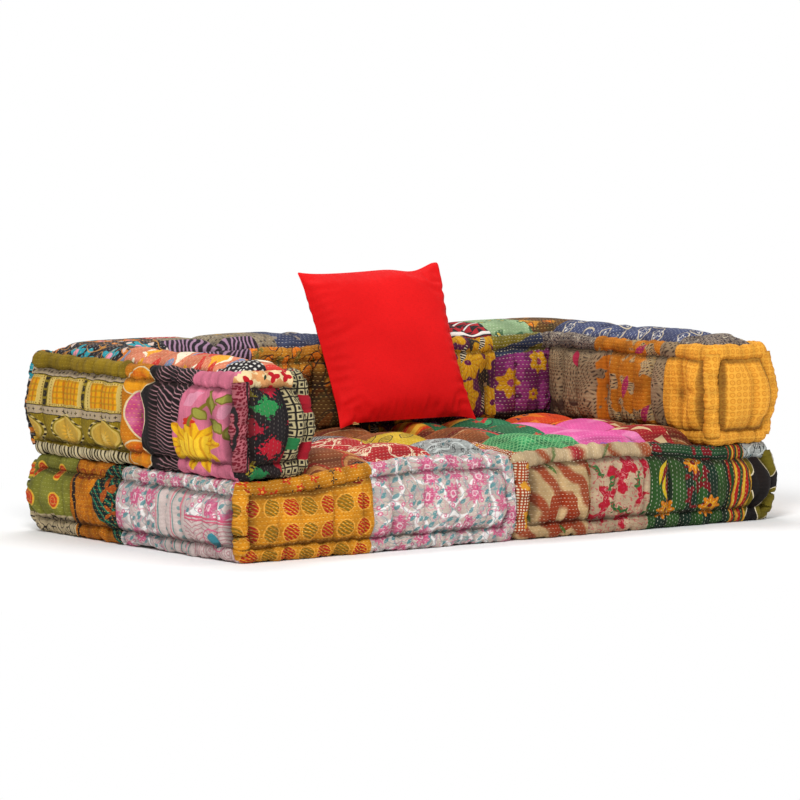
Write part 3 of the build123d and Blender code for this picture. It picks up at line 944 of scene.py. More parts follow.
@scrap((226, 70, 26), (250, 160, 90))
def orange_red(u, v):
    yield (234, 120, 30), blots(u, v, 16.0, 0.48, 0.04)
    triangle = under((u - 0.24).math("ABSOLUTE") + (v - 0.05) * 0.8, 0.05, 0.002)
    yield (196, 18, 24), triangle * (1 - under(v, -0.02, 0.002))
    x, y = u - 0.24, v - 0.025
    medal = disc(x, y, 0.024)
    yield (198, 194, 190), medal
    yield (112, 108, 110), ring(x, y, 0.017, 0.0016) + blossom(x, y, 0.01, 6, 0.4) * 0.8
    smudge = blots(u + 2, v, 24.0, 0.37, 0.02)
    yield (44, 40, 60), smudge


@scrap((232, 128, 30), (250, 190, 90))
def orange_stripe(u, v):
    _, y = turned(u, v, 15)
    yield (244, 190, 60), rows(y, 0.05, 0.008)
    yield (206, 48, 30), rows(y, 0.05, 0.0045, 0.02)


lump_width = (arm_face_x - 0.00015) / 3
tuft_xs = [lump_width, 2 * lump_width]
tuft_ys = [-0.215, 0.0]


def dome(distance, width):
    """Swell of one lump across its width, steep at its sides and round on top."""
    share = min(1.0, abs(distance) / (width / 2))
    return 1 - share ** 2.6


def seat_height(x, y):
    x = abs(x)
    if x > arm_face_x or y > back_face_y:
        return seat_z - 0.001
    column = min(2, int(x / lump_width))
    row_ends = [front_y, -0.215, 0.0, back_face_y]
    row = next(i for i in range(3) if y <= row_ends[i + 1] + 1e-9)
    middle_x = (column + 0.5) * lump_width
    middle_y = (row_ends[row] + row_ends[row + 1]) / 2
    depth = row_ends[row + 1] - row_ends[row]
    swell = dome(x - middle_x, lump_width) * dome(y - middle_y, depth)
    edge = min((arm_face_x - x) / free_edge, (back_face_y - y) / free_edge, 1.0)
    valley = seat_z + valley_rise * edge
    height = valley + (seat_z + lump_crest + 0.004 - valley) * swell
    for tx in tuft_xs:
        for ty in tuft_ys:
            reach = sqrt((x - tx) ** 2 + (y - ty) ** 2)
            height += (tuft_z - height) * exp(-((reach / seat_tuft_reach) ** 2))
    near_front = max(0.0, 1 - (y - front_y) / free_edge)
    near_split = max(0.0, 1 - (x - split_x) / free_edge)
    rim = max(near_front, near_split)
    rim_z = (seat_front_z(x) if near_front > near_split else seat_split_z(y)) + 0.008
    return height + (rim_z - height) * rim ** 0.6


def seat_held(x, y):
    x = abs(x)
    if x > arm_face_x or y > back_face_y:
        return True
    return any(sqrt((x - tx) ** 2 + (y - ty) ** 2) < tuft_hold for tx in tuft_xs for ty in tuft_ys)


seat_tops = {
    "seat_left": [
        (-1, -0.37, -1, -0.31, "brown_rounds"), (-1, -0.24, -1, -0.13, "red_floral"),
        (-0.24, -0.2, -1, -0.24, "red_floral"), (-0.2, 1, -1, -0.25, "grey_floral"),
        (-0.38, -0.24, -0.13, 0.0, "small_check"), (-0.24, -0.06, -0.25, -0.1, "yellow_leaf"),
        (-1, 1, -1, 1, "tan_rust"),
    ],
    "seat_right": [
        (0.21, 0.39, -1, -0.215, "plain_pink"), (0.25, 0.45, -0.215, -0.07, "plain_pink"),
        (-1, 0.21, -1, -0.24, "green_crosshatch"), (0.39, 0.46, -1, -0.07, "red_flame"),
        (0.46, 1, -1, -0.07, "tan_rust"), (-1, 0.09, -0.24, 0.02, "tan_rust"),
        (0.09, 0.25, -0.24, 0.08, "dotted_band"), (0.25, 0.36, -0.07, 0.1, "green_leaf"),
        (-1, 0.25, 0.02, 1, "orange_stripe"),
        (-1, 1, -1, 1, "orange_red"),
    ],
}
sew_tops(seat_tops, lambda x, y: True, seat_height, seat_held, 0.006)

# Walls of the two backrest blocks: the same patchwork strips round the L, with a tie through the
# arm and the back at each pinch.
@scrap((146, 122, 18), (186, 166, 60), upright=True, fade=0.14)
def olive_arches(u, v):
    gold, dark = (222, 158, 14), (36, 28, 16)
    x, y = repeat(u, 0.158, 0.067), v - 0.3205
    band = line(y, 0.0305, 0.001)
    yield dark, band * (1 - line(x, 0.0725, 0.001)) * rows(v, 0.018, 0.0065)
    frame_mask = line(x, 0.069, 0.001) * band
    yield (206, 178, 96), frame_mask
    hem_dots = disc(repeat(v, 0.006), x.math("ABSOLUTE") - 0.058, 0.0014)
    hem_dots = hem_dots + disc(repeat(u, 0.006), y.math("ABSOLUTE") - 0.028, 0.0013)
    yield (110, 70, 20), hem_dots.clamp() * frame_mask
    square = line(x, 0.049, 0.001) * line(y, 0.0255, 0.001)
    yield gold, square
    yield (190, 96, 8), rows(u, 0.0145, 0.0028, soft=0.003) * square * 0.75
    yield (170, 124, 20), rows(v, 0.0125, 0.002, soft=0.002) * square * 0.7
    for height in (0.3625, 0.2795):
        strip = line(v - height, 0.0088, 0.001)
        yield (176, 156, 128), strip
        spot = blossom(repeat(u, 0.016), v - height, 0.0036, 4, 0.3) * strip
        yield dark, spot
        yield dark, line((v - height).math("ABSOLUTE") - 0.0088, 0.0009)
    x, y = repeat(u, 0.158, 0.067), v - 0.2375
    cut = 1 - under(y, -0.03, 0.002)
    rim = (leaf(y, x, 0.042, 0.063) - leaf(y, x, 0.038, 0.057)).clamp()
    yield (212, 190, 122), rim * cut
    yield dark, rim * rows(v, 0.0105, 0.003) * cut
    yield (206, 174, 84), leaf(y, x, 0.035, 0.052) * cut
    yield (192, 152, 56), leaf(y, x, 0.031, 0.046) * cut
    yield (222, 170, 56), blossom(x, y + 0.005, 0.0255, 16, 0.3) * cut
    yield (236, 206, 110), blossom(x, y + 0.005, 0.014, 12, 0.4)
    hem = under(v, 0.2035, 0.001)
    yield (206, 190, 150), hem
    yield dark, rows(u, 0.013, 0.0026) * hem


def water_petals(u, v):
    """Large outlined petals that lie over the join of two scraps."""
    for cx, cz, length, width, degrees, colour, heart in (
        (0.45, 0.362, 0.06, 0.034, 8, (226, 150, 20), (214, 92, 14)),
        (0.445, 0.203, 0.058, 0.034, -14, (222, 140, 18), (206, 84, 12)),
        (0.456, 0.293, 0.056, 0.048, 84, (188, 60, 112), (214, 116, 150)),
    ):
        x, y = turned(u - cx, v - cz, degrees)
        yield (222, 204, 160), leaf(x, y, length, width)
        petal = leaf(x, y, length * 0.93, width * 0.9)
        yield colour, petal
        yield heart, (grain(u, v, 30.0) * 2.4 - 0.9).clamp() * petal


@scrap((204, 122, 16), (236, 176, 70), fade=0.16)
def petal_mustard(u, v):
    yield from water_petals(u, v)


@scrap((20, 15, 16))
def wavy_black(u, v):
    u1, v1 = wavering(u, v, 8.0, 0.05)
    _, y = turned(u1, v1, -22)
    stripe = rows(y, 0.0088, 0.0009, soft=0.0014) * (1 - under(u, 0.525, 0.02))
    fade = (grain(u, v, 16.0) * 2.4 - 0.3).clamp()
    yield (188, 138, 144), stripe * fade
    yield from water_petals(u, v)


@scrap((222, 120, 146), upright=True, fade=0.12)
def lotus_pink(u, v):
    u1, v1 = wavering(u, v, 30.0, 0.009)
    stripes = rows(turned(u1, v1, -24)[1], 0.0088, 0.0009, soft=0.0014)
    left = under(u1 - (v1 - 0.29) * 0.45, 0.625, 0.003)
    yield (20, 15, 16), left
    yield (188, 138, 144), stripes * left
    for cx, cz, wide, tall in ((0.683, 0.338, 0.03, 0.0095), (0.795, 0.318, 0.022, 0.014)):
        x, y = turned(u1 - cx, v1 - cz, 30)
        yield (220, 150, 172), leaf(x, y, wide, tall) * 0.7
    x, y = (u1 - 0.683) * 0.54, v1 - 0.242
    lotus = blossom(*turned(x, y, 12), 0.058, 9, 0.2)
    yield (232, 178, 20), lotus
    rays = spokes(x, y, 18, 0.05, 0.07)
    yield (190, 110, 10), rays * lotus * 0.75
    heart = blossom(x, y + 0.006, 0.034, 7, 0.2)
    yield (240, 196, 44), heart
    yield (196, 120, 14), rows(x, 0.009, 0.0011) * heart * 0.7
    yield (200, 44, 26), blossom((u1 - 0.675) * 0.6, v1 - 0.292, 0.0115, 5, 0.2)
    stem = ring((u1 - 0.765) * 0.55, v1 - 0.284, 0.0485, 0.0026)
    yield (128, 112, 30), stem * (1 - under(v1, 0.282, 0.002)) * under(u1, 0.775, 0.002)
    for cx, cz, turn_by, size in (
        (0.742, 0.332, 76, 0.029), (0.762, 0.287, -24, 0.026), (0.7, 0.308, 120, 0.018),
        (0.82, 0.275, 90, 0.026), (0.8, 0.345, 20, 0.02),
    ):
        x, y = turned((u1 - cx) * 0.6, v1 - cz, turn_by)
        yield (120, 106, 34), leaf(x, y, size, size * 0.5)
        yield (152, 150, 62), leaf(x, y, size * 0.82, size * 0.36)
    x, y = (u1 - 0.838) * 0.7, v1 - 0.338
    yield (222, 168, 26), blossom(x, y, 0.022, 5, 0.25)


@scrap((176, 96, 104), upright=True, fade=0.14)
def pink_paisley(u, v):
    x, y, _ = scatter(u, v, 0.0062, 0.8)
    yield (104, 14, 32), leaf(*turned(x, y, 40), 0.0036, 0.0021)
    yield ink, rows(u, 0.03, 0.0028, 0.012)


@scrap((22, 20, 24), (120, 112, 104), upright=True)
def black_jagged(u, v):
    spots = (
        (0.045, 0.329, 0.024, (34, 128, 66)), (0.06, 0.366, 0.019, (172, 22, 48)),
        (0.016, 0.286, 0.021, (150, 18, 40)), (0.053, 0.244, 0.025, (174, 18, 40)),
        (0.09, 0.212, 0.021, (172, 20, 42)), (0.032, 0.186, 0.021, (24, 116, 64)),
        (0.006, 0.356, 0.016, (128, 116, 24)), (0.008, 0.208, 0.016, (150, 128, 24)),
        (0.104, 0.296, 0.014, (168, 20, 44)),
    )
    ragged = (grain(u, v, 150.0, 1.0) - 0.5) * 0.034
    for cx, cz, size, colour in spots:
        x, y = (u - cx) * 0.86, v - cz
        edge = x.math("ABSOLUTE") + y.math("ABSOLUTE") + ragged
        yield colour, under(edge, size, 0.002)


@scrap((26, 24, 20), fade=0.1)
def window_grid(u, v):
    x, y = repeat(u, 0.0165), repeat(v, 0.0165)
    square = line(x, 0.0066, 0.001) * line(y, 0.0066, 0.001)
    yield (180, 166, 124), square
    yield (26, 24, 20), line(x, 0.0035, 0.001) * line(y, 0.0035, 0.001)
    block_red = rows(u, 0.099, 0.0155) * rows(v, 0.099, 0.019, 0.0165)
    yield (156, 16, 34), block_red
    yield (30, 110, 60), rows(u, 0.099, 0.01, 0.0495) * rows(v, 0.132, 0.0115, 0.08)


@scrap((226, 160, 100), upright=True, fade=0.12)
def peach_tulip(u, v):
    yield (232, 206, 156), blots(u, v, 34.0, 0.5, 0.04)
    x, y, pick = scatter(u, v, 0.034, 0.6)
    yield (178, 18, 30), blossom(x, y, 0.0145, 3, 0.3) * few(pick, 0.72)
    yield (22, 54, 36), leaf(*turned(x, y, 60), 0.009, 0.003) * (1 - few(pick, 0.72))


@scrap((196, 128, 32), (240, 200, 120))
def orange_gold(u, v):
    u1, v1 = wavering(u, v, 20.0, 0.02)
    x, y, _ = scatter(u1, v1, 0.055, 0.7)
    x, y = turned(x, y, 50)
    yield (224, 120, 24), leaf(x, y, 0.03, 0.014)
    yield ink, (leaf(x, y, 0.03, 0.014) - leaf(x, y, 0.0265, 0.0115)).clamp()
    yield ink, vines(u1, v1, 24.0, 0.018)
    yield (96, 100, 40), blots(u, v, 34.0, 0.38, 0.03) * 0.7
    # Dark brown over the lower part: partly the cloth's own dark ground, partly painted shade for the wall
    # that lies in shadow between arm and cushion.
    yield (52, 34, 18), under(v, 0.345, 0.03) * blots(u, v, 18.0, 0.66, 0.06) * 0.85


@scrap((92, 32, 76), (226, 190, 120), upright=True)
def purple_bloom(u, v):
    u1, v1 = wavering(u, v, 34.0, 0.012)
    yield (44, 40, 34), rows(u1 + v1 * 0.2, 0.12, 0.02, 0.03, 0.004)
    x, y, pick = scatter(u1, v1, 0.082, 0.5)
    petals = blossom(x, y, 0.042, 6, 0.14, 0.003) * few(pick, 0.86)
    yield (206, 152, 18), petals
    yield (170, 104, 14), spokes(x, y, 12, 0.06, 0.06) * petals * 0.7
    yield (96, 24, 70), disc(x, y, 0.0075) * petals
    x, y, pick = scatter(u1 + 0.7, v1, 0.06, 0.7)
    frond = leaf(*turned(x, y, 65), 0.026, 0.008) * few(pick, 0.5)
    yield (26, 24, 24), frond
    yield cream, rows(turned(x, y, 65)[0], 0.006, 0.001) * frond


@scrap((122, 110, 32), (236, 226, 190))
def olive_navy(u, v):
    u1, v1 = wavering(u, v, 26.0, 0.012)
    navy = line(turned(u1 - 0.45, v1 - 0.375, 18)[1], 0.013, 0.003)
    yield (44, 52, 74), navy
    lower = under(v1 - u1 * 0.1, 0.312, 0.003)
    x, y, pick = scatter(u1, v1, 0.078, 0.5)
    yield (108, 34, 86), lower
    petals = blossom(x, y, 0.036, 6, 0.16, 0.003) * lower
    yield (216, 164, 20), petals * few(pick, 0.6)
    yield (140, 50, 112), petals * (1 - few(pick, 0.6))
    yield (84, 20, 62), disc(x, y, 0.007) * lower
    for cx, cz, size in ((0.395, 0.29, 0.033), (0.478, 0.335, 0.027), (0.46, 0.262, 0.015)):
        x, y = u1 - cx, v1 - cz
        head = blossom(x, y, size, 7, 0.14, 0.003)
        yield (208, 154, 20), head
        yield (170, 104, 14), spokes(x, y, 14, 0.06, 0.06) * head * 0.7
        yield (150, 60, 96), disc(x, y, size * 0.24) * head
    yield (40, 32, 34), under(v1, 0.225, 0.004)


@scrap((168, 142, 108), fade=0.18)
def beige_dash(u, v):
    yield (48, 34, 30), rice(u, v, 55) * 0.9
    x, y = turned(u - 0.14, v - 0.345, -60)
    yield (168, 36, 66), leaf(x, y, 0.024, 0.0085)
    yield (198, 112, 20), line(u - 0.232, 0.022, 0.003) * blots(u, v, 26.0, 0.56, 0.03)
    yield (74, 52, 42), under(v, 0.252, 0.012) * blots(u, v, 20.0, 0.5, 0.05) * under(u, 0.2, 0.01)


@scrap((206, 122, 22), (236, 170, 70), fade=0.18)
def mustard_beige(u, v):
    blot = blots(u, v, 16.0, 0.45, 0.03)
    yield (176, 150, 108), blot
    yield (56, 38, 34), rice(u, v, 30) * blot
    for cx, cz, turn_by in ((0.335, 0.293, 75), (0.37, 0.382, 20), (0.4, 0.235, 60)):
        x, y = turned(u - cx, v - cz, turn_by)
        yield (168, 46, 88), leaf(x, y, 0.026, 0.0085)


@scrap((252, 180, 62), fade=0.05)
def gold_rounds(u, v):
    x, y = repeat(u, 0.0135), repeat(v, 0.0135)
    yield (204, 122, 26), ring(x, y, 0.0042, 0.0015) * 0.6
    yield (210, 128, 26), disc(x, y, 0.0012) * 0.7
    lines = rows(u, 0.0135, 0.0012, 0.00675) + rows(v, 0.0135, 0.0012, 0.00675)
    yield (238, 174, 66), lines.clamp() * 0.2


@scrap((30, 28, 32), (210, 200, 190))
def teal_floral(u, v):
    x, y, pick = scatter(u, v, 0.07, 0.6)
    petals = blossom(x, y, 0.03, 5, 0.3)
    first = few(pick, 0.5)
    yield (40, 148, 160), petals * first
    yield (214, 122, 36), petals * (1 - first)
    yield (236, 150, 170), disc(x, y, 0.008)
    x, y, pick = scatter(u + 0.4, v, 0.045, 0.8)
    yield (214, 190, 176), leaf(*turned(x, y, 30), 0.014, 0.005) * few(pick, 0.6)
    yield (190, 130, 60), vines(u, v, 26.0, 0.02)


@scrap((150, 134, 108), (214, 204, 186), fade=0.14)
def grey_paisley(u, v):
    x, y, pick = scatter(u, v, 0.012, 0.8)
    yield (44, 36, 34), disc(x, y, 0.0028) * few(pick, 0.6)
    x, y, pick = scatter(u, v, 0.06, 0.7)
    yield (186, 146, 52), blossom(x, y, 0.012, 5, 0.3) * few(pick, 0.5)
    yield (92, 84, 84), blots(u, v, 80.0, 0.42, 0.04) * 0.5


@scrap((62, 70, 98), (222, 222, 226))
def navy_kantha(u, v):
    x, y, pick = scatter(u, v, 0.075, 0.6)
    yield (158, 146, 128), blossom(x, y, 0.026, 4, 0.35) * few(pick, 0.4) * 0.8
    yield (36, 40, 60), blots(u, v, 26.0, 0.42, 0.05) * 0.7


@scrap((32, 24, 32))
def mauve_wave(u, v):
    u1, v1 = wavering(u, v, 12.0, 0.05)
    stripe = rows(turned(u1, v1, 65)[1], 0.013, 0.0026)
    yield (170, 132, 158), stripe * 0.9


@scrap((74, 82, 116), (224, 224, 228))
def navy_paisley(u, v):
    x, y, _ = scatter(u, v, 0.07, 0.5)
    x, y = turned(x, y, 35)
    drop = blossom(x - 0.004, y, 0.027, 2, 0.25) - blossom(x - 0.004, y, 0.0225, 2, 0.25)
    yield (212, 196, 166), drop.clamp()
    inner = blossom(x, y, 0.014, 5, 0.3) - blossom(x, y, 0.01, 5, 0.3)
    yield (220, 214, 204), inner.clamp()
    yield (40, 44, 70), blots(u, v, 30.0, 0.4, 0.05) * 0.6


backrest_bottom_z = 0.1943
backrest_top_z = 0.381
pinch_depth = 0.0105
middle_z = (backrest_bottom_z + backrest_top_z) / 2
tie_ys = [back_y - 0.235, back_y - 0.51]
tie_xs = [0.12, 0.36]


def level_top(x, y):
    return backrest_top_z


backrest_walls = {
    "backrest_left": [
        ((-outer_x, front_y), "front_wall", [(0.09, "black_jagged"), (0.3, "window_grid")]),
        ((-arm_x, front_y), "arm_inner_wall", [(0.2, "window_grid"), (0.7, "orange_gold")]),
        ((-arm_x, back_y), "back_inner_wall", [(0.6, "orange_gold")]),
        ((-split_x, back_y), "split_wall", [(0.3, "mauve_wave")]),
        ((-split_x, rear_y), "rear_wall",
         [(0.25, "navy_kantha"), (0.48, "grey_paisley"), (0.8, "teal_floral")]),
        ((-outer_x, rear_y), "outer_wall",
         [(0.392, "olive_arches"), (0.465, "petal_mustard"), (0.6, "wavy_black"),
          (0.9, "lotus_pink")]),
    ],
    "backrest_right": [
        ((arm_x, front_y), "front_wall", [(0.2, "gold_rounds")]),
        ((outer_x, front_y), "outer_wall",
         [(0.35, "gold_rounds"), (0.6, "beige_dash"), (0.9, "navy_paisley")]),
        ((outer_x, rear_y), "rear_wall",
         [(0.3, "olive_arches"), (0.5, "purple_bloom"), (0.8, "wavy_black")]),
        ((split_x, rear_y), "split_wall", [(0.3, "purple_bloom")]),
        ((split_x, back_y), "back_inner_wall", [(0.36, "purple_bloom"), (0.7, "olive_navy")]),
        ((arm_x, back_y), "arm_inner_wall",
         [(0.255, "beige_dash"), (0.42, "mustard_beige"), (0.465, "beige_dash"),
          (0.8, "gold_rounds")]),
    ],
}


def wall_pinches(start, end):
    """Ties that come through a wall, as (distance along it, height, depth from its roll line)."""
    (x0, y0), (x1, y1) = start, end
    found = []
    if abs(x0 - x1) < 0.001 and abs(abs(x0) - split_x) > 0.01:
        found = [abs(y - y0) for y in tie_ys]
    if abs(y0 - y1) < 0.001 and abs(y0 - front_y) > 0.01:
        found = [abs(abs(x0) - x) for x in tie_xs]
    length = abs(x1 - x0) + abs(y1 - y0)
    return [(d, middle_z, pinch_depth) for d in found if corner_clear < d < length - corner_clear]


sew_walls(backrest_walls, backrest_bottom_z, level_top, wall_pinches, 40)

# Tops of the backrest blocks: one sheet over arm and back, tied down in the middle of each, with
# lumps between the ties.
@scrap((188, 34, 40))
def red_cream_dots(u, v):
    x, y, _ = scatter(u, v, 0.016, 0.5)
    yield cream, disc(x, y, 0.0038)


@scrap((226, 136, 100), (248, 210, 178))
def coral_stipple(u, v):
    u1, v1 = wavering(u, v, 20.0, 0.03)
    for shift, colour, share in (
        (0.0, (240, 228, 200), 0.75), (0.37, (234, 164, 36), 0.6), (0.71, (126, 144, 172), 0.3),
        (0.93, (206, 60, 48), 0.35),
    ):
        x, y, pick = scatter(u1 + shift, v1, 0.075, 0.7)
        yield colour, leaf(*turned(x, y, 24), 0.046, 0.0155) * few(pick, share)
    x, y, pick = scatter(u, v, 0.009, 0.8)
    yield (206, 66, 54), disc(x, y, 0.0016) * under(pick, 0.5, 0.02) * 0.7


@scrap((232, 228, 218))
def houndstooth(u, v):
    a, b = turned(u, v, 20)
    check = rows(a, 0.012, 0.0032) + rows(b, 0.012, 0.0032)
    yield ink, check.clamp()


@scrap((230, 132, 30), (248, 200, 130))
def orange_dots(u, v):
    x, y, _ = scatter(u, v, 0.02, 0.5)
    yield cream, disc(x, y, 0.0036)
    yield (206, 60, 40), rows(u + v, 0.11, 0.01)


@scrap((206, 190, 164), (240, 230, 210))
def pink_stripe(u, v):
    yield (206, 84, 104), rows(u, 0.032, 0.0045)
    yield (236, 224, 200), rows(u, 0.032, 0.004, 0.012)


@scrap((186, 34, 44))
def black_triangles(u, v):
    x, y = repeat(u, 0.024), repeat(v, 0.026)
    yield (26, 22, 26), under(x.math("ABSOLUTE") + y * 0.5, 0.006, 0.001)
    yield (238, 232, 224), rows(v, 0.052, 0.0035, 0.02)


@scrap((150, 178, 132), (220, 230, 200))
def pale_green(u, v):
    x, y, _ = scatter(u, v, 0.05, 0.7)
    yield (70, 104, 70), leaf(*turned(x, y, 30), 0.02, 0.008)
    yield (226, 190, 80), disc(x, y, 0.0045)


@scrap((140, 124, 110), (206, 196, 180), fade=0.14)
def grey_speckle(u, v):
    yield (56, 50, 56), blots(u, v, 210.0, 0.45, 0.03)
    x, y, _ = scatter(u, v, 0.055, 0.6)
    yield (196, 184, 160), (blossom(x, y, 0.02, 5, 0.3) - blossom(x, y, 0.017, 5, 0.3)).clamp()


crest_z = 0.418
valley_z = 0.404
arm_middle = (outer_x + arm_x) / 2
back_middle = (back_y + rear_y) / 2
upright_ys = [y + 0.014 for y in tie_ys]
upright_xs = [x - 0.014 for x in tie_xs]
top_ties = [(arm_middle, y) for y in upright_ys] + [(x, back_middle) for x in upright_xs]
top_ties_z = 0.3985
back_tuft_reach = 0.024
back_valley_half = 0.02
back_rise_width = 0.055


def backrest_height(x, y):
    x = abs(x)
    edge = min(outer_x - x, rear_y - y)
    if y < back_y:
        edge = min(edge, x - arm_x, y - front_y)
    elif x < arm_x:
        edge = min(edge, y - back_y, x - split_x)
    else:
        edge = min(edge, max(x - arm_x, y - back_y))
    share = min(1.0, max(0.0, edge - top_inset) / back_rise_width)
    rise = sqrt(1 - (1 - share) ** 2)
    stations = [y - t for t in upright_ys] if y < back_y else [x - t for t in upright_xs]
    valley = max(exp(-((d / back_valley_half) ** 2)) for d in stations)
    crest = crest_z - (crest_z - valley_z) * valley
    rim_z = backrest_top_z + 0.008
    height = rim_z + (crest - rim_z) * rise
    for tx, ty in top_ties:
        reach = sqrt((x - tx) ** 2 + (y - ty) ** 2)
        height += (top_ties_z - height) * exp(-((reach / back_tuft_reach) ** 2))
    return height


def backrest_held(x, y):
    return any(sqrt((abs(x) - tx) ** 2 + (y - ty) ** 2) < tuft_hold for tx, ty in top_ties)


def backrest_plan(x, y):
    return abs(x) > arm_x + top_inset or y > back_y + top_inset


backrest_tops = {
    "backrest_left": [
        (-0.48, -0.4, 0.3, 1, "red_cream_dots"), (-1, -0.48, 0.1, 1, "teal_floral"),
        (-1, -0.4, -0.3, 0.1, "coral_stipple"), (-1, -0.63, -1, -0.06, "houndstooth"),
        (-1, -0.4, -1, -0.06, "coral_stipple"), (-0.5, -0.25, -1, 0.25, "mauve_wave"),
        (-0.48, -0.2, 0, 1, "grey_paisley"), (-1, 1, -1, 1, "navy_kantha"),
    ],
    "backrest_right": [
        (-1, 0.12, -1, 1, "orange_dots"), (0.12, 0.24, 0, 1, "pink_stripe"),
        (0.24, 0.4, 0, 1, "black_triangles"), (0.4, 0.52, 0.1, 1, "pale_green"),
        (0.52, 1, 0.2, 1, "orange_gold"), (0.5, 1, -0.28, 0.2, "navy_paisley"),
        (0.5, 1, -1, -0.28, "grey_speckle"), (-1, 1, -1, 1, "pale_green"),
    ],
}
sew_tops(backrest_tops, backrest_plan, backrest_height, backrest_held, 0.008)

# The stuffing pushes every cover out at once: a cloth simulation under pressure, held where the
# covers are sewn and tied, then one subdivision.
stuffing_frames = 20
cloth_settings = {
    "quality": 5, "mass": 0.2, "tension_stiffness": 14, "compression_stiffness": 14,
    "shear_stiffness": 5, "bending_stiffness": 0.25, "air_damping": 1.5,
    "use_pressure": True, "uniform_pressure_force": 4.0, "vertex_group_mass": "sewn",
}


def stuff_covers(covers, extra_cloth):
    """Swells covers that are cut a little larger than their place, each by its cap at most."""
    scene = bpy.context.scene
    rest = {}
    for piece, _, _, _ in covers:
        rest[piece.name] = np.array([v.co[:] for v in piece.data.vertices])
        modifier = piece.modifiers.new("stuffing", "CLOTH")
        cloth = modifier.settings
        for setting, value in cloth_settings.items():
            setattr(cloth, setting, value)
        cloth.shrink_min = -extra_cloth
        cloth.effector_weights.gravity = 0.0
        modifier.point_cache.frame_start = 1
        modifier.point_cache.frame_end = stuffing_frames
        modifier.collision_settings.use_collision = False
    for step in range(1, stuffing_frames + 1):
        scene.frame_set(step)
    depsgraph = bpy.context.evaluated_depsgraph_get()
    moved = {}
    for piece, _, _, _ in covers:
        shape = piece.evaluated_get(depsgraph).to_mesh()
        moved[piece.name] = np.array([v.co[:] for v in shape.vertices])
        piece.evaluated_get(depsgraph).to_mesh_clear()
    for piece, _, _, cap in covers:
        piece.modifiers.clear()
        shift = moved[piece.name] - rest[piece.name]
        size = np.linalg.norm(shift, axis=1)
        shift *= (cap * np.tanh(size / cap) / np.maximum(size, 1e-9))[:, None]
        piece.data.vertices.foreach_set("co", (rest[piece.name] + shift).ravel())
        piece.data.update()
    scene.frame_set(1)


def smoothed(piece):
    """One subdivision, the same in the view and in the render."""
    modifier = piece.modifiers.new("smooth", "SUBSURF")
    modifier.levels = modifier.render_levels = 1


stuff_covers(pads, 0.08)
for piece, node, body, _ in pads:
    smoothed(piece)
    sewn_on(piece, body, node)

# The rolled edges: the cover's sides are rolled over a core of stuffing and whipped through every
# few centimetres, so each roll is a string of small lumps, with knobs where three rolls meet.
@scrap((138, 112, 16), (176, 150, 50), fade=0.16)
def olive_ochre(u, v):
    yield (168, 136, 30), (grain(u, v, 12.0) * 2.0 - 0.8).clamp() * 0.7


@scrap((212, 184, 142), (236, 218, 186), upright=True, fade=0.14)
def rust_green_dye(u, v):
    u1, v1 = wavering(u, v, 24.0, 0.03)
    yield (150, 58, 20), rows(turned(u1, v1, 25)[0], 0.085, 0.011, soft=0.012) * 0.9
    yield (60, 104, 44), rows(turned(u1, v1, -20)[0], 0.13, 0.0045, 0.04, 0.006) * 0.8
    yield (168, 24, 48), rows(u1, 0.335, 0.012, 0.02, 0.012) * 0.85


@scrap((30, 74, 42), (206, 206, 186), fade=0.16)
def green_garnet(u, v):
    yield (120, 16, 26), rows(u, 0.15, 0.032, 0.02, 0.004) * blots(u, v, 50.0, 0.55, 0.02)
    yield (10, 36, 24), rows(v, 0.03, 0.004)


roll_step = 0.0045
roll_sides = 20
turn = 0.02
whip_share = 0.79
whip_gap = 0.026
whip_gap_spread = 0.024
last_lump = 0.035
knob = 0.13
knob_reach = 0.024
roll_wander = 0.0016
roll_folds = 0.0016
whip_folds = 0.0014
floor_gap = 0.0004
roll_overrides = {
    "seat_left": {
        "front_wall": [(0.318, "mustard_blossom"), (0.8, "pink_dahlia")],
        "outer_wall": [(0.175, "olive_suns"), (0.37, "teal_diamond"), (0.9, "pink_dahlia")],
    },
    "seat_right": {
        "front_wall": [
            (0.355, "rust_green_dye"), (0.57, "green_garnet"), (0.618, "bright_stripe"), (0.8, "grey_floral"),
        ],
    },
    "backrest_left": {
        "front_wall": [(0.12, "peach_tulip"), (0.3, "window_grid")],
        "outer_wall": [
            (0.392, "olive_ochre"), (0.48, "petal_mustard"), (0.6, "wavy_black"), (0.9, "lotus_pink"),
        ],
        "back_inner_wall": [(0.27, "mauve_wave"), (0.6, "orange_gold")],
    },
    "backrest_right": {
        "arm_inner_wall": [
            (0.19, "grey_speckle"), (0.44, "mustard_beige"), (0.49, "beige_dash"), (0.8, "gold_rounds"),
        ],
        "back_inner_wall": [
            (0.1, "orange_dots"), (0.36, "purple_bloom"), (0.5, "olive_navy"), (0.7, "grey_speckle"),
        ],
    },
}
upright_scraps = {("backrest_left", 0): "pink_paisley", ("seat_right", 0): "rust_dots"}


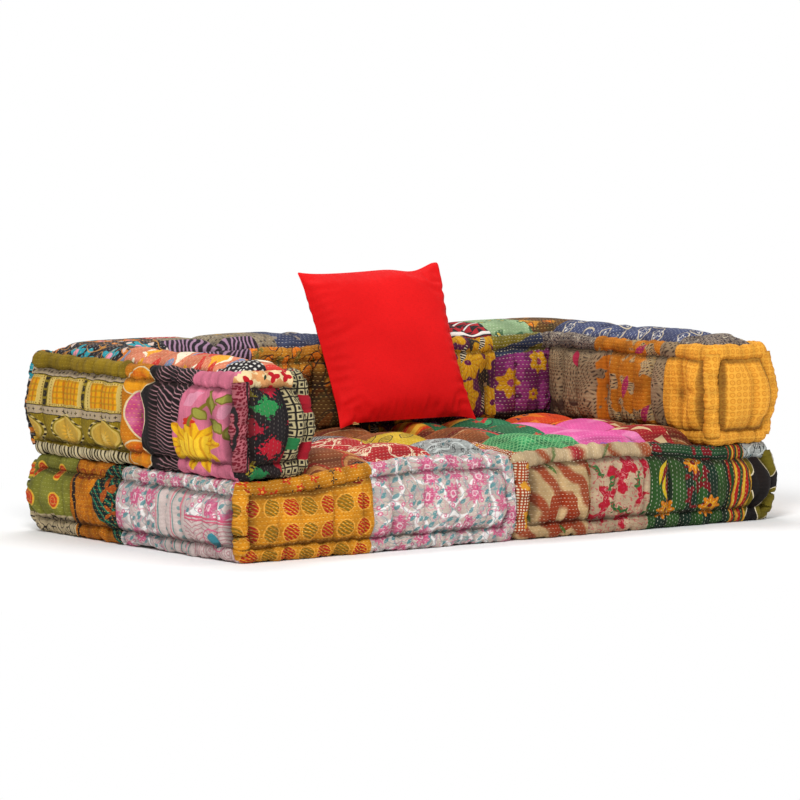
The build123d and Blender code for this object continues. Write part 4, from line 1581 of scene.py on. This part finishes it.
def rounded_route(points, closed):
    """Even points along straight runs, with each corner turned on a short curve."""
    places = [Vector(p) for p in points]
    count = len(places)
    dense = []
    for i, place in enumerate(places):
        before, after = places[i - 1], places[(i + 1) % count]
        if not closed and i in (0, count - 1):
            dense.append(place)
            continue
        into, out = (before - place), (after - place)
        reach = min(turn, into.length / 2, out.length / 2)
        a, b = place + into.normalized() * reach, place + out.normalized() * reach
        dense += [a.lerp(place, t / 6).lerp(place.lerp(b, t / 6), t / 6) for t in range(7)]
    if closed:
        dense.append(dense[0])
    lengths = [0.0]
    for a, b in zip(dense, dense[1:]):
        lengths.append(lengths[-1] + (b - a).length)
    steps = max(4, round(lengths[-1] / roll_step))
    route = []
    k = 0
    for i in range(steps if closed else steps + 1):
        s = lengths[-1] * i / steps
        while k < len(dense) - 2 and lengths[k + 1] < s:
            k += 1
        span = max(lengths[k + 1] - lengths[k], 1e-9)
        route.append((s, dense[k].lerp(dense[k + 1], (s - lengths[k]) / span)))
    return route, lengths[-1]


def roll_tube(points, closed, corners, radius, meets, rng, seed):
    """Rings of vertices of one whipped roll, and its quads as (ring, side) corners."""
    route, total = rounded_route(points, closed)
    stitches = [0.0]
    while stitches[-1] < total - last_lump:
        stitches.append(stitches[-1] + whip_gap + whip_gap_spread * rng.random())
    stitches[-1] = total
    sways = rng.normal(0.0, roll_wander, (len(stitches), 2))
    swells = rng.normal(1.0, 0.07, len(stitches))
    depths = rng.uniform(0.55, 1.15, len(stitches))
    verts, shades = [], []
    count = len(route)
    lump = 0
    for i, (s, centre) in enumerate(route):
        ahead = route[(i + 1) % count][1] if closed or i < count - 1 else centre
        behind = route[i - 1][1] if closed or i > 0 else centre
        way = (ahead - behind).normalized()
        side = way.cross(Vector((0, 0, 1)))
        side = Vector((1, 0, 0)) if side.length < 0.3 else side.normalized()
        over = side.cross(way).normalized()
        while lump < len(stitches) - 2 and stitches[lump + 1] < s:
            lump += 1
        t = min(1.0, (s - stitches[lump]) / (stitches[lump + 1] - stitches[lump]))
        swell = sin(pi * t) ** 0.5 if 0 < t < 1 else 0.0
        dip = depths[lump] * (1 - t) + depths[(lump + 1) % len(depths)] * t
        thick = radius * (1.02 * swells[lump] * swell + (1 - (1 - whip_share) * dip) * (1 - swell))
        near = min((centre - Vector(c)).length for c in corners)
        thick *= 1 + knob * exp(-((near / knob_reach) ** 2))
        sway = sways[lump] * (1 - t) + sways[(lump + 1) % len(sways)] * t
        centre = centre + side * float(sway[0]) + over * float(sway[1])
        for k in range(roll_sides):
            angle = 2 * pi * k / roll_sides
            out = side * cos(angle) + over * sin(angle)
            spot = centre + out * thick
            fold = roll_folds * soft_noise(spot.x, spot.y, spot.z, 75.0, seed)
            fold += 0.0007 * cos(2 * angle + s * 420.0)
            fold += whip_folds * (1 - swell) * cos(3 * angle + seed)
            spot = centre + out * (thick + fold)
            verts.append(Vector((spot.x, spot.y, max(spot.z, floor_gap))))
            beside = max(out.dot(way_in) for way_in in meets(side, over))
            shades.append(max(0.45 * (1 - swell), 0.9 * max(0.0, beside) ** 3))
    quads = []
    for i in range(count if closed else count - 1):
        j = (i + 1) % count
        for k in range(roll_sides):
            quads.append(((i, k), (j, k), (j, k + 1), (i, k + 1)))
    return verts, quads, count, shades


def nearest_wall(spot, walls):
    """The wall that a place on a roll lies along: its index, start and direction."""
    best = None
    for index, (start, _, _) in enumerate(walls):
        a, b = Vector(start), Vector(walls[(index + 1) % len(walls)][0])
        run = b - a
        share = max(0.0, min(1.0, (spot.xy - a).dot(run) / run.length_squared))
        gap = (a + run * share - spot.xy).length
        if best is None or gap < best[0] - 0.0005:
            best = (gap, index, a, run.normalized())
    return best[1:]


def rolled_block(block, walls, low_z, top_z_at, bends, seed):
    """All the rolls of one block in one piece: a ring below, a ring above and the uprights."""
    rng = np.random.default_rng(seed)
    corners = [start for start, _, _ in walls]
    top_ring = []
    for index, (x, y) in enumerate(corners):
        nx, ny = corners[(index + 1) % len(corners)]
        for share in (0.0, *bends):
            px, py = x + (nx - x) * share, y + (ny - y) * share
            top_ring.append((px, py, top_z_at(px, py)))
    knobs = [(x, y, z) for x, y in corners for z in (low_z, top_z_at(x, y))]
    low_ring = [(x, y, low_z) for x, y in corners]
    over_walls = roll_overrides[block]
    tubes = [
        (low_ring, True, roll_radius, {}, None, lambda side, over: (over, -side)),
        (top_ring, True, roll_radius, over_walls, None, lambda side, over: (-over, -side)),
    ]
    leans = corner_leans(walls)
    for index, (x, y) in enumerate(corners):
        ends = [Vector(walls[index - 1][0]), Vector(walls[(index + 1) % len(walls)][0])]
        joins = [(end - Vector((x, y))).normalized().to_3d() for end in ends]
        top_z = top_z_at(x, y)
        points = []
        for step in range(13):
            lean = leans[index] * (sin(pi * step / 12) ** 1.5 if step < 12 else 0.0)
            points.append((x + lean.x, y + lean.y, low_z + (top_z - low_z) * step / 12))
        whole = upright_scraps.get((block, index))
        meets = lambda side, over, joins=joins: joins
        tubes.append((points, False, roll_radius * 0.96, {}, whole, meets))
    verts, faces, loop_uvs, slots, shades = [], [], [], [], []
    for number, (points, closed, radius, special, whole, meets) in enumerate(tubes):
        tube = roll_tube(points, closed, knobs, radius, meets, rng, seed + number)
        tube_verts, quads, rings, tube_shades = tube
        offset = len(verts)
        verts += tube_verts
        shades += tube_shades
        for quad in quads:
            face = [ring * roll_sides + k % roll_sides for ring, k in quad]
            centre = sum((tube_verts[v] for v in face), Vector()) / 4
            index, start, run = nearest_wall(centre, walls)
            patches = special.get(walls[index][1], walls[index][2])
            slots.append(whole or fabric_along(patches, (centre.xy - start).dot(run)))
            faces.append([v + offset for v in face])
            back_turn = roll_sides if quad[0][1] >= roll_sides // 2 else 0
            uv = []
            for v, (_, k) in zip(face, quad):
                around = 2 * pi * (k - back_turn) / roll_sides
                height = points[0][2] + around * radius if closed else tube_verts[v].z
                uv.append(((tube_verts[v].xy - start).dot(run), height))
            loop_uvs.append(uv)
        if not closed:
            for ring, order in ((0, 1), (rings - 1, -1)):
                face = [ring * roll_sides + k for k in range(roll_sides)][::order]
                faces.append([v + offset for v in face])
                loop_uvs.append([(tube_verts[v].x, tube_verts[v].y) for v in face])
                slots.append(slots[-1])
    piece = cloth_piece(f"{block}_rolls", verts, faces, loop_uvs, slots, shades)
    sewn_on(piece, block, f"{block}_rolled_edges")


bow_shares = [tenth / 10 for tenth in range(1, 10)]
for number, (block, walls) in enumerate(seat_walls.items()):
    rolled_block(block, walls, seat_bottom_z, seat_edge_z, bow_shares, 70 + 20 * number)
for number, (block, walls) in enumerate(backrest_walls.items()):
    seed = 120 + 20 * number
    rolled_block(block, walls, backrest_bottom_z, level_top, [], seed)

# Base panels: one sheet of unbleached twill under each block, sewn to the lower rolls and resting
# nearly flat, with the pull of the tufting ties as shallow dips.
base_pitch = 0.016
base_dip = 0.002
base_dip_reach = 0.03


def twill(name, ground, thread_pitch, depth, light):
    """Woven cloth: diagonal ribs over a plain, slightly uneven colour."""
    material, spot = bare_cloth(name, mapped=False)
    x, y, z = spot.split()
    rib = ((x + y * 0.83 + z * 0.61) * (2 * pi / thread_pitch)).math("SINE")
    fibre = spot.node("ShaderNodeTexNoise", {"Vector": spot, "Scale": 900.0, "Detail": 2.0})
    age = spot.node("ShaderNodeTexNoise", {"Vector": spot, "Scale": 14.0, "Detail": 3.0})
    ground = tint(*ground)
    pale = tuple(c + (1 - c) * light for c in ground[:3]) + (1.0,)
    shadow = tuple(c * 0.55 for c in ground[:3]) + (1.0,)
    colour = between_dyes(age, ground, pale).mix(shadow, (rib * -0.25 + fibre * 0.5).clamp())
    return finished_cloth(material, colour, fibre * 0.1 + 0.84, rib * 0.5 + fibre, 0.6, depth, 0.2)


base_twill = twill("unbleached_twill", (150, 128, 98), 0.0022, 0.0004, 0.15)
for block in (*seat_walls, *backrest_walls):
    low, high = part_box(f"{block}_base_panel")
    side = -1 if "left" in block else 1
    raised = block in backrest_walls
    ties = top_ties if raised else [(tx, ty) for tx in tuft_xs for ty in tuft_ys]
    covers = backrest_plan if raised else lambda x, y: True
    places, faces, _ = plan_grid(low.x, high.x, low.y, high.y, base_pitch, covers)
    points = []
    for x, y in places:
        gaps = [(abs(x) - tx) ** 2 + (y - ty) ** 2 for tx, ty in ties]
        dips = sum(exp(-gap / base_dip_reach ** 2) for gap in gaps)
        wrinkle = 0.0003 * (1 + soft_noise(x, y, 0, 20.0, side))
        points.append((x, y, low.z + base_dip * min(1.0, dips) + wrinkle))
    mesh = bpy.data.meshes.new(f"{block}_base_sheet")
    mesh.from_pydata(points, [], [[face[0], *face[:0:-1]] for face in faces])
    mesh.materials.append(base_twill)
    piece = bpy.data.objects.new(f"{block}_base_sheet", mesh)
    bpy.context.collection.objects.link(piece)
    bpy.ops.object.select_all(action="DESELECT")
    piece.select_set(True)
    bpy.context.view_layer.objects.active = piece
    bpy.ops.object.shade_smooth()
    hem = piece.modifiers.new("cloth_thickness", "SOLIDIFY")
    hem.thickness = 0.0009
    hem.offset = -1.0
    smoothed(piece)
    sewn_on(piece, block, f"{block}_base_panel")

# What is inside and through the blocks: teased recycled cotton, and flat cotton tapes that tie top
# to base at each dimple.
def dress(node, cloth):
    """Puts its cloth on a solid that stays as it is."""
    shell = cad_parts[node]
    shell.data.materials.clear()
    shell.data.materials.append(cloth)


loose_cotton = twill("teased_cotton", (206, 196, 172), 0.006, 0.0012, 0.25)
tie_tape = twill("ochre_tape", (128, 92, 44), 0.0012, 0.0003, 0.1)
for block in (*seat_walls, *backrest_walls):
    dress(f"{block}_filling", loose_cotton)
    dress(f"{block}_tufting_tapes", tie_tape)

# The scatter cushion: two squares of plain red cotton sewn edge to edge round a wadding pad, with
# drawn-in sides, pointed corners and a zip in its lower seam; it leans on the back's top roll.
thread_pitch = 0.0011
cushion_cells = 52
cushion_side = 0.383
cushion_crown = 0.0505
cushion_draw = 0.0115
cushion_ear = 0.006
cushion_taper = 0.045
cushion_droop = 0.017
cushion_slip = 0.004
cushion_sag = 0.013
cushion_tilt = radians(23.4)
panel_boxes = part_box("cushion_front_panel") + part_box("cushion_back_panel")
cushion_middle = sum((Vector(corner) for corner in panel_boxes), Vector()) / 4
cushion_up = Vector((0, sin(cushion_tilt), cos(cushion_tilt)))
cushion_out = Vector((0, -cos(cushion_tilt), sin(cushion_tilt)))


def blunted(s, t, start=0.84):
    """The place in the square with its upper right corner rounded, where the filling leaves it."""
    if min(s, t) <= start:
        return s, t
    a, b = (s - start) / (1 - start), (t - start) / (1 - start)
    p = start + (s - start) * sqrt(1 - b * b * 0.42)
    return p, start + (t - start) * sqrt(1 - a * a * 0.42)


def red_cotton():
    """Bright reactive-dyed cotton in plain weave, a little darker in its creases."""
    material, spot = bare_cloth("red_cotton")
    u, v, _ = spot.split()
    weave = (u * (2 * pi / thread_pitch)).math("SINE") * (v * (2 * pi / thread_pitch)).math("SINE")
    slub = grain(u * 0.3, v * 3.0, 300.0, 2.0) + grain(u * 3.0, v * 0.3, 300.0, 2.0)
    colour = between_dyes(grain(u, v, 7.0, 3.0), tint(204, 6, 8), tint(234, 20, 22))
    colour = colour.mix(tint(160, 8, 10), (weave * 0.12 + (slub - 1.0) * 0.6 + 0.05).clamp())
    creases = ((grain(u, v, 11.0, 1.0) - 0.5).math("ABSOLUTE") * -6.0).math("EXPONENT")
    height = weave * 0.12 + slub * 0.5 + creases * 0.8
    return finished_cloth(material, colour, slub * 0.1 + 0.62, height, 0.35, 0.0012, 0.12)


def hump(value, reach):
    return exp(-((value / reach) ** 2))


def cushion_place(s, t, facing):
    """A place on a panel, from -1 to 1 across and up: across, up and out from the middle."""
    half = cushion_side / 2
    ear = cushion_ear * (abs(s) * abs(t)) ** 8
    p, q = blunted(s, t)
    side_draw = cushion_draw * (0.35 if s < 0 else 1.0)
    x = p * (half - side_draw * (1 - t * t) * abs(s) ** 3 + ear)
    straight = 0.55 * (1 - min(1.0, max(0.0, (abs(s) - 0.8) / 0.2))) if t < 0 else 1 - s * s
    y = q * (half - cushion_draw * straight * abs(t) ** 3 + ear)
    x *= 1 - cushion_taper * (1 - t) / 2
    x -= cushion_slip + cushion_slip * max(0.0, -s * (1 + t) / 2)
    y -= cushion_droop * ((1 - s) * (1 + t) / 4) ** 2
    y -= cushion_sag * hump(s - 0.6, 0.25) * ((1 + t) / 2) ** 4
    swell = [sqrt(max(0.0, 1 - abs(share) ** 2.2)) for share in (s, t)]
    gather = 0.0019 * hump(1 - abs(s), 0.2) * cos(46 * t + 4 * soft_noise(t, s, 0, 2.0, facing))
    gather += 0.0016 * hump(1 - abs(t), 0.16) * cos(50 * s + 4 * soft_noise(s, t, 0, 2.0, -facing))
    fold = hump(t - 0.1 - 0.3 * (s + 0.8), 0.05) * hump(s + 0.68, 0.17)
    fold += 0.8 * hump(t - 0.62 + 0.5 * (s - 0.7), 0.05) * hump(s - 0.74, 0.12)
    inner = min(1.0, 6 * (1 - abs(s))) * min(1.0, 6 * (1 - abs(t)))
    bulge = cushion_crown * swell[0] * swell[1] + (gather - 0.004 * fold) * inner
    return x, y, facing * bulge


red_cotton()
cushion_covers = []
for panel, facing, cap in (("front", 1, 0.0065), ("back", -1, 0.002)):
    points, uvs, held = [], [], []
    for j in range(cushion_cells + 1):
        for i in range(cushion_cells + 1):
            x, y, out = cushion_place(2 * i / cushion_cells - 1, 2 * j / cushion_cells - 1, facing)
            points.append(cushion_middle + Vector((x, 0, 0)) + cushion_up * y + cushion_out * out)
            uvs.append((cushion_side / 2 + x + (1 if facing < 0 else 0), cushion_side / 2 + y))
            held.append(i in (0, cushion_cells) or j in (0, cushion_cells))
    faces = [face[::facing] for face in grid_faces(cushion_cells, cushion_cells)]
    fabrics, shades = ["red_cotton"] * len(faces), [0.0] * len(points)
    piece = stuffed_pad(f"cushion_{panel}_cover", points, faces, uvs, fabrics, shades, held)
    cushion_covers.append((piece, f"cushion_{panel}_panel", "cushion", cap))
stuff_covers(cushion_covers, 0.06)
for piece, node, body, _ in cushion_covers:
    smoothed(piece)
    sewn_on(piece, body, node)

# The cushion's inside and its zip: a pad of polyester wadding, red woven tapes, a moulded nylon
# coil and a brass-finished slider.
slider_brass = twill("satin_brass", (196, 160, 92), 0.0006, 0.00003, 0.1)
slider_brass.node_tree.nodes["Principled BSDF"].inputs["Metallic"].default_value = 1.0
dress("cushion_zip_slider", slider_brass)
dress("cushion_pad", twill("polyester_wadding", (232, 228, 218), 0.005, 0.001, 0.2))
dress("cushion_zip_tape", twill("red_zip_tape", (150, 12, 14), 0.0009, 0.0002, 0.05))
dress("cushion_zip_teeth", twill("red_nylon", (140, 10, 12), 0.0015, 0.0001, 0.08))
